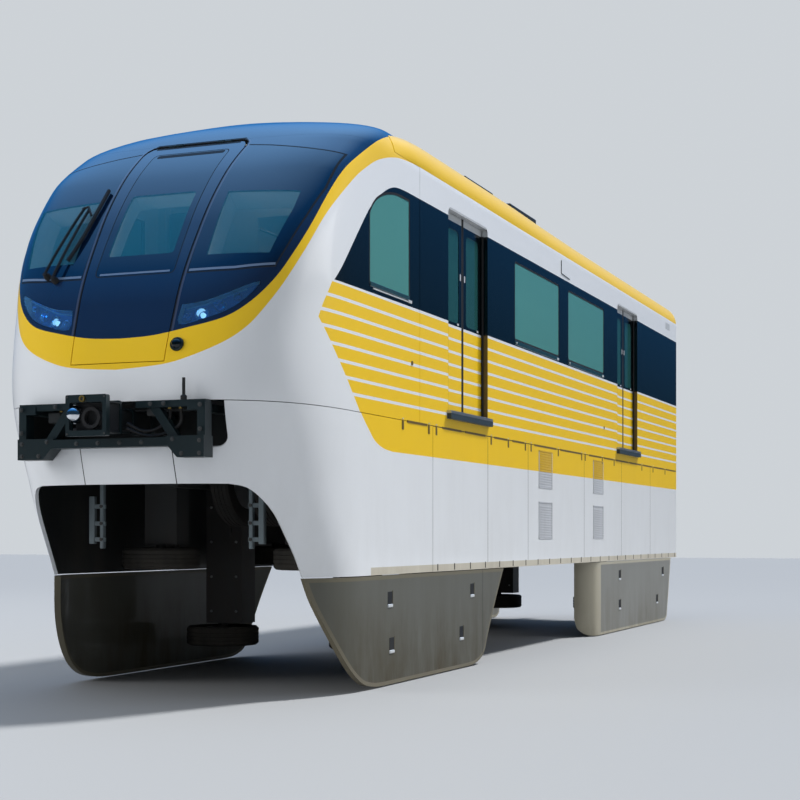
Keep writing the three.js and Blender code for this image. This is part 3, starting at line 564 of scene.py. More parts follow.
def turned(profile, centre, axis, segments):
    """A ring of points for each (radius, height) of a profile."""
    way = Vector(axis).normalized()
    side = way.orthogonal().normalized()
    other = way.cross(side)
    turns = [2 * math.pi * i / segments for i in range(segments)]
    spokes = [side * math.cos(turn) + other * math.sin(turn) for turn in turns]
    return [Vector(centre) + way * height + spoke * max(radius, 0.0004)
            for radius, height in profile for spoke in spokes]


def lathe(build, finish, profile, centre, axis, segments=32):
    """A profile turned round an axis, closed at both ends."""
    build.solid(turned(profile, centre, axis, segments), capped(len(profile), segments), finish)


def hoop(build, finish, profile, centre, axis, segments=32):
    """A closed profile turned round an axis, open in the middle."""
    build.solid(turned(profile, centre, axis, segments), looped(len(profile), segments), finish)


def tube(build, finish, path, radius, segments=10):
    """A round bar along a path, closed at its ends."""
    path = [Vector(point) for point in path]
    ways = [(path[min(i + 1, len(path) - 1)] - path[max(i - 1, 0)]).normalized() for i in range(len(path))]
    side = ways[0].orthogonal().normalized()
    points = []
    for point, way in zip(path, ways):
        side = (side - way * side.dot(way)).normalized()
        other = way.cross(side)
        for i in range(segments):
            turn = 2 * math.pi * i / segments
            points.append(point + (side * math.cos(turn) + other * math.sin(turn)) * radius)
    build.solid(points, capped(len(path), segments), finish)


def inset(outline, by):
    """An outline drawn in by a distance, corner by corner."""
    count = len(outline)
    area = sum(outline[i - 1][0] * outline[i][1] - outline[i][0] * outline[i - 1][1] for i in range(count))
    sign = 1 if area > 0 else -1
    drawn = []
    for i, point in enumerate(outline):
        before = (Vector(point) - Vector(outline[i - 1])).normalized()
        after = (Vector(outline[(i + 1) % count]) - Vector(point)).normalized()
        normals = [Vector((-way.y, way.x)) * sign for way in (before, after)]
        middle = (normals[0] + normals[1]).normalized()
        drawn.append(tuple(Vector(point) + middle * (by / max(middle.dot(normals[0]), 0.4))))
    return drawn


def prism(build, finish, outline, axis, low, high, chamfer=0.003):
    """An outline carried along an axis, with its two ends' edges cut back."""
    drawn = inset(outline, chamfer)
    points = []
    for ring, at in [(drawn, low), (outline, low + chamfer), (outline, high - chamfer), (drawn, high)]:
        points += [{"x": (at, u, v), "y": (u, at, v), "z": (u, v, at)}[axis] for u, v in ring]
    build.solid(points, capped(4, len(outline)), finish)


def cushion(build, finish, centre, across, along, half, crown, base, channels=()):
    """A stuffed pad whose sides pull in between its corners, with a sewn welt and channels."""
    across, along = Vector(across).normalized(), Vector(along).normalized()
    up = across.cross(along)
    count = 23
    spans = np.linspace(-1, 1, count)
    points, faces = [], []
    for height in (crown, -base):
        for u in spans:
            for v in spans:
                full = ((1 - u**4) * (1 - v**4)) ** 0.45
                sewn = sum(0.3 * math.exp(-(((v - channel) / 0.07) ** 2)) for channel in channels)
                rise_by = height * full * (1 - sewn if height > 0 else 1)
                points.append(Vector(centre) + across * (half[0] * u * (0.97 + 0.03 * v * v))
                              + along * (half[1] * v * (0.97 + 0.03 * u * u)) + up * rise_by)
    rim = [(i, 0) for i in range(count - 1)] + [(count - 1, i) for i in range(count - 1)]
    rim += [(count - 1 - a, count - 1 - b) for a, b in rim]
    edge = {a * count + b for a, b in rim}
    for sheet in (0, 1):
        for a in range(count - 1):
            for b in range(count - 1):
                square = [a * count + b, (a + 1) * count + b, (a + 1) * count + b + 1, a * count + b + 1]
                if sheet:
                    square = [i if i in edge else i + count * count for i in square[::-1]]
                faces.append(square)
    used = sorted({i for face in faces for i in face})
    number = {old: new for new, old in enumerate(used)}
    welt = [points[a * count + b] for a, b in [*rim, rim[0]]]
    build.solid([points[i] for i in used], [[number[i] for i in face] for face in faces], finish)
    tube(build, finish, welt, 0.004, 6)


def round_rect(u, v, radius, steps=5):
    """A rectangle with round corners."""
    points = []
    for cu, cv, start in [(u[1] - radius, v[0] + radius, -90), (u[1] - radius, v[1] - radius, 0),
                          (u[0] + radius, v[1] - radius, 90), (u[0] + radius, v[0] + radius, 180)]:
        for i in range(steps + 1):
            turn = math.radians(start + 90 * i / steps)
            points.append((cu + radius * math.cos(turn), cv + radius * math.sin(turn)))
    return points


def rect(u0, u1, v0, v1):
    return [(u0, v0), (u1, v0), (u1, v1), (u0, v1)]


def mirrored(half, flip=(1, -1)):
    """An outline made whole by its mirror image."""
    return [*half, *[(flip[0] * u, flip[1] * v) for u, v in half[::-1]]]


def smooth(points, steps=5):
    """A smooth open curve through points."""
    padded = [points[0], *points, points[-1]]
    curve = []
    for i in range(1, len(padded) - 2):
        a, b, c, d = (np.array(padded[i + k], dtype=float) for k in (-1, 0, 1, 2))
        for step in range(steps):
            t = step / steps
            curve.append(tuple(0.5 * (2 * b + (c - a) * t + (2 * a - 5 * b + 4 * c - d) * t**2
                                      + (3 * b - a - 3 * c + d) * t**3)))
    return [*curve, tuple(points[-1])]


def divide(outline, step):
    """A closed outline with no stretch longer than a step."""
    points = []
    for i, start in enumerate(outline):
        a, b = np.array(start), np.array(outline[(i + 1) % len(outline)])
        parts = max(1, math.ceil(np.linalg.norm(b - a) / step))
        points.extend(tuple(a + (b - a) * k / parts) for k in range(parts))
    return points


def inside(points, outline):
    """Which points lie within an outline."""
    points = np.asarray(points)
    result = np.zeros(len(points), dtype=bool)
    u, v = points[:, 0], points[:, 1]
    for (u0, v0), (u1, v1) in zip(outline, [*outline[1:], outline[0]]):
        if v0 != v1:
            crosses = (v0 > v) != (v1 > v)
            result ^= crosses & (u < (u1 - u0) * (v - v0) / (v1 - v0) + u0)
    return result


# The body's surface


def half_width(z):
    """Half the width of the body's section at a height."""
    if z <= SHOULDER_Z:
        return HALF_WIDTH
    if z > CORNER_TOP_Z:
        return CROWN_HALF * math.sqrt(max(CROWN_Z - z, 1e-6) / (CROWN_Z - CORNER_TOP_Z))
    return HALF_WIDTH - CORNER_RADIUS + math.sqrt(CORNER_RADIUS**2 - (z - SHOULDER_Z) ** 2)


@functools.cache
def nose_row(z):
    """Tip, start of the flat side and power of the nose's section at a height."""
    last = len(NOSE) - 1
    row = 0
    while row < last - 1 and NOSE[row + 1].z < z:
        row += 1
    span = NOSE[row + 1].z - NOSE[row].z
    t = (z - NOSE[row].z) / span
    values = []
    for column in (1, 2, 3):
        def slope(i, column=column):
            return (NOSE[i + 1][column] - NOSE[i][column]) / (NOSE[i + 1].z - NOSE[i].z)

        def tangent(i, slope=slope):
            if i in (0, last):
                return slope(min(i, last - 1))
            before, after = slope(i - 1), slope(i)
            return 0 if before * after <= 0 else 2 * before * after / (before + after)

        values.append(NOSE[row][column] * (2 * t**3 - 3 * t**2 + 1)
                      + NOSE[row + 1][column] * (3 * t**2 - 2 * t**3)
                      + span * tangent(row) * (t**3 - 2 * t**2 + t)
                      + span * tangent(row + 1) * (t**3 - t**2))
    return values


def round_section(z, turn):
    """Places on the nose's section at a height, by their angle from the middle."""
    tip, side, power = nose_row(z)
    reach = (np.cos(turn) ** power + np.sin(turn) ** power) ** (-1 / power)
    return side + (tip - side) * reach * np.cos(turn), half_width(z) * reach * np.sin(turn)


@functools.cache
def nose_section(z):
    """One half of a section as angles, places and the way travelled from the middle."""
    angle = np.linspace(0, math.pi / 2, 97)
    x, y = round_section(z, angle)
    run = np.concatenate([[0], np.cumsum(np.hypot(np.diff(x), np.diff(y)))])
    return angle, x, y, run


def section_level(x, y, z):
    """One on the surface, less inside."""
    tip, side, power = nose_row(z)
    return (max(x - side, 0) / (tip - side)) ** power + (abs(y) / half_width(z)) ** power


def surface_normal(x, y, z):
    step = 2e-4
    high, low = min(z + step, NOSE_TOP), z - step
    return Vector((
        (section_level(x + step, y, z) - section_level(x - step, y, z)) / (2 * step),
        (section_level(x, y + step, z) - section_level(x, y - step, z)) / (2 * step),
        (section_level(x, y, high) - section_level(x, y, low)) / (high - low),
    )).normalized()


HEIGHTS = np.linspace(SKIRT_Z, NOSE_TOP, 900)
RISES = np.concatenate([[0], np.cumsum(np.hypot(
    np.diff(HEIGHTS), np.diff([nose_row(z)[0] for z in HEIGHTS])))])


def rise(z):
    """Distance up the nose's middle line to a height."""
    return float(np.interp(z, HEIGHTS, RISES))


def on_nose(spot, sink=0.0):
    """Place and normal on the nose for (way round from the middle, way up the middle line)."""
    round_way, up_way = spot
    z = round(float(np.interp(up_way, RISES, HEIGHTS)), 5)
    angle, _, _, run = nose_section(z)
    sign = 1 if round_way >= 0 else -1
    way = abs(round_way)
    if way < run[-1]:
        x, y = round_section(z, float(np.interp(way, run, angle)))
    else:
        x, y = nose_row(z)[1] - (way - run[-1]), half_width(z)
    normal = surface_normal(x, y, z)
    normal.y *= sign
    return Vector((x, sign * y, z)) - normal * sink, normal


def seen_from_front(y, z):
    """The nose's own coordinates for a spot in the front view."""
    z = round(min(max(z, SKIRT_Z), NOSE_TOP), 5)
    _, _, ys, run = nose_section(z)
    return math.copysign(float(np.interp(abs(y), ys, run)), y), rise(z)


def seen_from_side(x, z, side=1):
    """The nose's own coordinates for a spot in the side view."""
    z = round(min(max(z, SKIRT_Z), NOSE_TOP), 5)
    start = nose_row(z)[1]
    _, xs, _, run = nose_section(z)
    way = run[-1] + start - x if x <= start else float(np.interp(-x, -xs, run))
    return side * way, rise(z)


def wall_place(side, proud):
    """The flat side and its round corner: (x, way up) to a place and normal."""
    def place(spot):
        x, up = spot
        if up <= SHOULDER_Z:
            return Vector((x, side * (HALF_WIDTH + proud), up)), Vector((0, side, 0))
        turn = (up - SHOULDER_Z) / CORNER_RADIUS
        radius = CORNER_RADIUS + proud
        return (Vector((x, side * (HALF_WIDTH - CORNER_RADIUS + radius * math.cos(turn)),
                        SHOULDER_Z + radius * math.sin(turn))),
                Vector((0, side * math.cos(turn), math.sin(turn))))
    return place


def flat_place(side, y):
    def place(spot):
        return Vector((spot[0], side * y, spot[1])), Vector((0, side, 0))
    return place


def grid(u, v, step):
    """Seed spots of a net between two corners."""
    us = np.arange(u[0] + step / 2, u[1], step)
    vs = np.arange(v[0] + step / 2, v[1], step)
    return [(a, b) for a in us for b in vs]


def skin(build, place, base, within, without=(), regions=(), seeds=(), step=0.08, depth=0.02,
         back=None, lines=()):
    """A shell over part of a surface, painted by regions, with a rim and a back."""
    outlines = [divide(outline, step) for outline in
                [*within, *without, *(outline for outline, _ in regions)]]
    spots, edges = [], []
    for outline in outlines:
        start = len(spots)
        spots.extend(outline)
        edges.extend((start + i, start + (i + 1) % len(outline)) for i in range(len(outline)))
    for line in lines:
        edges.append((len(spots), len(spots) + 1))
        spots.extend(line)
    if len(seeds):
        fixed, free = np.array(spots), np.array(seeds)
        near = np.array([np.min(np.hypot(*(fixed - seed).T)) for seed in free])
        spots.extend(map(tuple, free[near > step * 0.45]))
    found = geometry.delaunay_2d_cdt([Vector(spot) for spot in spots], edges, [], 0, 1e-5)
    flat = np.array([tuple(spot) for spot in found[0]])
    faces = np.array([list(face) for face in found[2]])
    middles = flat[faces].mean(axis=1)
    kept = np.ones(len(faces), dtype=bool)
    for outline in within:
        kept &= inside(middles, outline)
    for outline in without:
        kept &= ~inside(middles, outline)
    names = np.full(len(faces), base, dtype=object)
    for outline, finish in regions:
        names[inside(middles, outline)] = finish
    faces, names = faces[kept], names[kept]
    used = np.unique(faces)
    number = {old: new for new, old in enumerate(used)}
    placed = [place(flat[i]) for i in used]
    points = [spot for spot, _ in placed]
    normals = [normal for _, normal in placed]
    faces = [[number[i] for i in face] for face in faces]
    a, b, c = faces[0]
    if (points[b] - points[a]).cross(points[c] - points[a]).dot(normals[a]) < 0:
        faces = [face[::-1] for face in faces]
    count = len(points)
    both = [*points, *(spot - normal * depth for spot, normal in placed)]
    backs = [back if back and name not in GLASSES else name for name in names]
    build.add(both, [*faces, *[[count + i for i in face[::-1]] for face in faces]], [*names, *backs],
              [*normals, *[-normal for normal in normals]])
    border = {}
    for face, finish in zip(faces, names):
        for i in range(3):
            edge = (face[i], face[(i + 1) % 3])
            if (edge[1], edge[0]) in border:
                del border[edge[1], edge[0]]
            else:
                border[edge] = finish
    quads = [[one, count + one, count + two, two] for one, two in border]
    build.add(both, quads, list(border.values()))


# Outlines in the nose's own coordinates

TOP = rise(NOSE_TOP)
CAB_WINDOW = [(5.115, 2.14), (6.12, 2.14), *smooth(CAB_WINDOW_ARC, 3), (5.115, 3.07)]


def closed_over_top(front, side):
    """A curve round the whole nose, from its half seen from front and side, closed over the roof."""
    half = smooth([*[seen_from_front(y, z) for y, z in front], *[seen_from_side(x, z) for x, z in side]])
    whole = [*[(-u, v) for u, v in half[:0:-1]], *half]
    return [*whole, (6.0, whole[-1][1]), (6.0, TOP + 1), (-6.0, TOP + 1), (-6.0, whole[0][1])]


MASK = closed_over_top(MASK_FRONT, MASK_SIDE)
STRIPE = closed_over_top(STRIPE_FRONT, STRIPE_SIDE)


def front_outline(points, step=0.05, side=1):
    return [seen_from_front(side * y, z) for y, z in divide(points, step)]


def side_outline(points, side, step=0.05):
    return [seen_from_side(x, z, side) for x, z in divide(points, step)]


def door_outline(grow, top):
    """The emergency door with round upper corners, drawn larger by a gap."""
    (foot_half, foot_z), (head_half, _) = FRONT_DOOR
    foot_half, head_half = foot_half + grow, head_half + grow
    half = [(foot_half, foot_z - grow), (head_half, top - 0.09), (head_half - 0.012, top - 0.045),
            (head_half - 0.045, top - 0.01), (head_half - 0.09, top)]
    return front_outline(mirrored(half, (-1, 1)))


def nose_domain(low, high, back_x):
    """The whole surface between two heights, from the back edge round to the other back edge."""
    right = [seen_from_side(back_x, z) for z in np.linspace(low, high, 90)]
    return mirrored(right, (-1, 1))


def side_lines(trim):
    """Lower and upper edge of each thin white line."""
    half = trim.line_width / 2
    middles = [LINE_TOP_Z - i * trim.line_step for i in range(8)]
    return [(middle - half, middle + half) for middle in middles]


def wall_regions(x0, x1, trim):
    """Paint of the flat side between the seam and the roof."""
    front, rear = (SHOULDER_Z + CORNER_RADIUS * math.asin((z - SHOULDER_Z) / CORNER_RADIUS)
                   for z in CANT_STRIPE_Z)
    return [
        (rect(x0, x1, 0.9, BAND_Z[0]), "accent_yellow"),
        *[(rect(x0, x1, *edges), "body_white") for edges in side_lines(trim)],
        (rect(x0, x1, *BAND_Z), "band_black"),
        ([(x0, rear), (2.0, rear), (x1, front), (x1, 4.0), (x0, 4.0)], "accent_yellow"),
    ]


def dress(finish, *nodes):
    """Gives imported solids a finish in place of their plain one."""
    for name in nodes:
        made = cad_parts[name]
        if not made.material_slots:
            made.data.materials.append(material(finish))
        for place in made.material_slots:
            place.material = material(finish)


def reveal(build, finish, outline, depth):
    """A closed rim that runs inwards round a window or lamp of the nose."""
    wide = inset(outline, -0.012)
    rings = [(outline, 0.018), (outline, depth), (wide, depth), (wide, 0.018)]
    points = [on_nose(spot, sink)[0] for ring, sink in rings for spot in ring]
    build.solid(points, looped(4, len(outline)), finish)


def bolt_circle(build, profile, centre, axis, radius, count, start=0.0):
    """Hexagon heads round a centre, on a face that looks along y or z."""
    x, y, z = centre
    for i in range(count):
        turn = start + 2 * math.pi * i / count
        across, along = radius * math.cos(turn), radius * math.sin(turn)
        at = (x + across, y, z + along) if axis[1] else (x + across, y + along, z)
        lathe(build, "bogie_steel", profile, at, axis, 6)


def hinge(build, y, x, z):
    """A barrel on the emergency door's axis, with its leaf."""
    tube(build, "frame_steel", [(HINGE_X, end, HINGE_Z) for end in around(y, 0.0348)], 0.0098, 12)
    box(build, "frame_steel", x, around(y, 0.034), z, 0.002)


# Operators: one for each piece or group of like pieces


class MONORAIL_OT_nose_shell(bpy.types.Operator):
    """White upper nose with the yellow stripe, the side lines and the black band's tip"""

    bl_idname = "monorail.nose_shell"
    bl_label = "Nose Shell"

    def execute(self, context):
        build = Build()
        domain = nose_domain(SEAM_Z, NOSE_TOP, CAB_JOINT_X)
        tip = [*smooth(BAND_TIP, 3), (4.8, BAND_Z[1]), (4.8, BAND_Z[0])]
        regions = [(STRIPE, "accent_yellow")]
        panes = []
        for side in SIDES.values():
            regions.append((side_outline(CHEEK, side), "accent_yellow"))
            for low, high in side_lines(context.scene.car_trim):
                regions.append((side_outline(rect(4.7, 7.25, low, high), side, 0.2), "body_white"))
            regions.append((side_outline(tip, side), "band_black"))
            panes.append(side_outline(CAB_WINDOW, side))
        skin(build, on_nose, "body_white", [domain], [MASK, door_outline(FRONT_DOOR_GAP, CAP_Z), *panes],
             regions, grid((-5, 5), (rise(SEAM_Z), TOP), 0.1), 0.07, 0.05, back="lining_grey")
        build.piece("nose_shell_skin", ["nose_upper_shell"], "body_white")
        return {"FINISHED"}


class MONORAIL_OT_roof_cap(bpy.types.Operator):
    """Navy cap over the windscreens with the slot above the emergency door"""

    bl_idname = "monorail.roof_cap"
    bl_label = "Roof Cap"

    def execute(self, context):
        build = Build()
        domain = nose_domain(CAP_Z, NOSE_TOP, CAB_JOINT_X)
        low, high = CAP_Z - 0.001, CAP_Z + 0.018
        slot = front_outline([(-0.46, low), (0.46, low), (0.44, high), (-0.44, high)])
        skin(build, on_nose, "mask_navy", [domain, MASK], (), [(slot, "seam_dark")],
             grid((-4, 4), (rise(CAP_Z), TOP), 0.09), 0.07, 0.05, back="lining_grey")
        heel = np.linspace(CAB_JOINT_X, nose_row(NOSE_TOP)[0], 24)
        rim = [on_nose(seen_from_side(x, NOSE_TOP))[0] for x in heel]
        lid = mirrored([spot.xy for spot in rim])
        prism(build, "mask_navy", lid, "z", NOSE_TOP - 0.003, NOSE_TOP, 0.0004)
        for y in (-0.21, 0.21):
            hinge(build, y, (6.497, HINGE_X), (HINGE_Z, 3.416))
        build.piece("front_roof_cap_skin", ["front_roof_cap"], "mask_navy")
        return {"FINISHED"}


class MONORAIL_OT_windscreens(bpy.types.Operator):
    """Windscreens with their dark border, clear glass, light sill strip and wiper"""

    bl_idname = "monorail.windscreens"
    bl_label = "Windscreens"

    def execute(self, context):
        domain = nose_domain(SEAM_Z, CAP_Z - 0.001, CAB_JOINT_X)
        lamp = smooth([*LAMP, LAMP[0]], 3)[:-1]
        shapes = [(inset(SCREEN_ZONE, -0.012), "seam_dark"), (SCREEN_ZONE, "screen_frit"),
                  (SCREEN_CLEAR, "screen_glass"), (SCREEN_STRIP, "screen_strip")]
        # The paler band outside the dark seal is a painted highlight on the seal
        seals = [(door_outline(0.036, CAP_Z), "seal_edge"), (door_outline(0.018, CAP_Z), "seam_dark")]
        for name, side in SIDES.items():
            build = Build()
            half = rect(0, side * 6, rise(SEAM_Z), TOP)
            regions = [(front_outline(outline, side=side), finish) for outline, finish in shapes]
            lamp_hole = front_outline(lamp, 0.04, side)
            skin(build, on_nose, "mask_navy", [domain, MASK, half],
                 [door_outline(FRONT_DOOR_GAP, CAP_Z), lamp_hole], [*regions, *seals],
                 grid(sorted((0, side * 5)), (rise(SEAM_Z), rise(CAP_Z)), 0.09), 0.06, PANE_DEPTH,
                 back="screen_frit")
            # The reveal's near white is painted sunlight on the post behind the clear glass
            reveal(build, "reveal_painted_sunlight", front_outline(SCREEN_CLEAR, 0.1, side), 0.2)
            build.piece(f"windscreen_{name}_pane", [f"windscreen_{name}"], "mask_navy")
            self.lamp(name, side, lamp_hole)
        self.wiper()
        return {"FINISHED"}

    def lamp(self, name, side, outline):
        """Clear lens over a blue bowl with four round lamps and a light strip."""
        build = Build()
        skin(build, on_nose, "lamp_lens", [inset(outline, 0.003)], depth=0.008, step=0.04)
        skin(build, functools.partial(on_nose, sink=0.075), "lamp_bowl", [outline], depth=0.01, step=0.04)
        reveal(build, "strip_light", outline, 0.085)
        cup = [(0.7, 0.0), (1.0, 0.03), (1.0, 0.04), (0.9, 0.04), (0.62, 0.004)]
        bulb = [(0.4, 0.004), (0.36, 0.02), (0.2, 0.028)]
        for y, z, radius, finish in [(0.69, 1.7, 0.058, "lamp_lit"), (0.835, 1.762, 0.052, "lamp_lens"),
                                     (0.965, 1.835, 0.036, "lamp_lens"), (0.57, 1.68, 0.036, "lamp_lens")]:
            spot, normal = on_nose(seen_from_front(side * y, z), 0.07)
            hoop(build, "chrome", [(radius * share, height) for share, height in cup], spot, normal, 28)
            lathe(build, finish, [(radius * share, height) for share, height in bulb], spot, normal, 24)
        strip = [(0.54, 1.755), (0.7, 1.778), (0.88, 1.845), (1.03, 1.905)]
        path = [on_nose(seen_from_front(side * y, z), 0.045)[0] for y, z in strip]
        tube(build, "strip_light", path, 0.006, 8)
        build.piece(f"headlamp_{name}_unit", [f"headlamp_{name}"], "lamp_lens")

    def wiper(self):
        """Two parallel arms that carry one upright blade on the right-hand windscreen."""
        build = Build()

        def above(y, z, height):
            return on_nose(seen_from_front(y, z), -height)[0]

        for start, end in [((-0.85, 2.09), (-0.7, 2.7)), ((-0.755, 2.05), (-0.645, 2.68))]:
            spot, normal = on_nose(seen_from_front(*start))
            lathe(build, "rubber", [(0.03, 0), (0.03, 0.03), (0.018, 0.05), (0.018, 0.062)], spot, normal, 20)
            tube(build, "rubber", [above(y, z, 0.055) for y, z in np.linspace(start, end, 9)], 0.012, 8)
        tube(build, "rubber", [above(-0.72, 2.69, 0.055), above(-0.66, 2.7, 0.06), above(-0.6, 2.62, 0.05)],
             0.011, 8)
        blade = [(-0.57, 2.89), (-0.572, 2.75), (-0.585, 2.6), (-0.61, 2.45), (-0.645, 2.31), (-0.68, 2.22)]
        tube(build, "rubber", [above(y, z, 0.028) for y, z in blade], 0.016, 8)
        tube(build, "rubber", [above(y, z, 0.012) for y, z in blade], 0.007, 6)
        build.piece("windscreen_wiper", slot="dark_steel")


class MONORAIL_OT_emergency_door(bpy.types.Operator):
    """Front emergency door, navy above and yellow below, with its window and hinge"""

    bl_idname = "monorail.emergency_door"
    bl_label = "Emergency Door"

    def execute(self, context):
        build = Build()
        clear = round_rect((-0.31, 0.31), (2.24, 2.83), 0.03, 3)
        shapes = [
            (round_rect((-0.378, 0.378), (2.052, 3.298), 0.045, 3), "seam_dark"),
            (round_rect((-0.37, 0.37), (2.06, 3.29), 0.04, 3), "screen_frit"),
            (clear, "screen_glass"),
            (round_rect((-0.335, 0.335), (3.248, 3.285), 0.018, 3), "seam_dark"),
            (rect(-0.42, 0.42, 3.362, 3.4), "seam_dark"),
            (rect(-0.33, 0.33, 2.07, 2.086), "screen_strip"),
        ]
        regions = [(MASK, "mask_navy"), *[(front_outline(outline), finish) for outline, finish in shapes]]
        skin(build, on_nose, "accent_yellow", [door_outline(0, FRONT_DOOR[1][1])], (), regions,
             grid((-0.6, 0.6), (rise(1.3), rise(3.4)), 0.07), 0.06, PANE_DEPTH, back="screen_frit")
        # The reveal's near white is painted sunlight on the post behind the clear glass
        reveal(build, "reveal_painted_sunlight", front_outline(clear, 0.1), 0.15)
        for y in (-0.28, 0.28):
            hinge(build, y, (6.537, 6.553), (3.372, HINGE_Z))
        build.piece("emergency_door_panel", ["emergency_door"], "mask_navy", "emergency_door")
        self.round_camera()
        return {"FINISHED"}

    def round_camera(self):
        """A dark dome in its ring, beside the door's foot."""
        build = Build()
        spot, normal = on_nose(seen_from_front(0.53, 1.44))
        for finish, profile in [
                ("frame_steel", [(0.058, -0.01), (0.058, 0.012), (0.05, 0.022), (0.044, 0.022)]),
                ("band_black", [(0.043, 0.018), (0.036, 0.034), (0.02, 0.044), (0.0, 0.047)])]:
            lathe(build, finish, profile, spot, normal, 36)
        build.piece("round_camera", slot="lamp_lens")


class MONORAIL_OT_lower_nose(bpy.types.Operator):
    """Lower nose with the coupler pocket and the opening that straddles the beam"""

    bl_idname = "monorail.lower_nose"
    bl_label = "Lower Nose"

    def execute(self, context):
        build = Build()
        domain = nose_domain(SKIRT_Z + 0.0005, SEAM_Z - 0.006, SKIRT_JOINT_X)
        half, low, high, radius = POCKET
        pocket = front_outline(round_rect((-half, half), (low, high + 0.2), radius), 0.06)
        opening = smooth(BEAM_OPENING[::-1], 4)
        slot = divide(mirrored(opening, (-1, 1)), 0.05)
        spots = [seen_from_front(y, z) for y, z in slot]
        beam = [spot if z > SKIRT_Z else (spot[0], SKIRT_Z - 0.5) for spot, (_, z) in zip(spots, slot)]
        foot = [*smooth(CHEEK_FOOT, 4), (4.4, YELLOW_FOOT_Z), (4.4, 1.0)]
        regions = []
        for side in SIDES.values():
            regions.append((side_outline(foot, side), "accent_yellow"))
            regions.append((side_outline(rect(4.4, 6.08, *FOOT_TRIM_Z), side), "foot_trim"))
        for y in (-0.35, 0.49):
            regions.append((front_outline(rect(*around(y, 0.004), 0.2, 0.62)), "seam_dark"))
        # The shell's black back and the two black plates behind the coupler pocket are painted shade that
        # keeps the pocket dark
        skin(build, on_nose, "body_white", [domain], [pocket, beam], regions,
             grid((-5, 5), (0, rise(SEAM_Z)), 0.11), 0.08, 0.03, back="tank_black")
        box(build, "tank_black", (7.05, 7.07), (-0.97, 0.97), (0.36, 0.98))
        box(build, "tank_black", (7.05, 7.6), (-0.95, 0.95), (1.005, 1.02))
        build.piece("nose_lower_skin", ["nose_lower_shell"], "body_white")
        return {"FINISHED"}


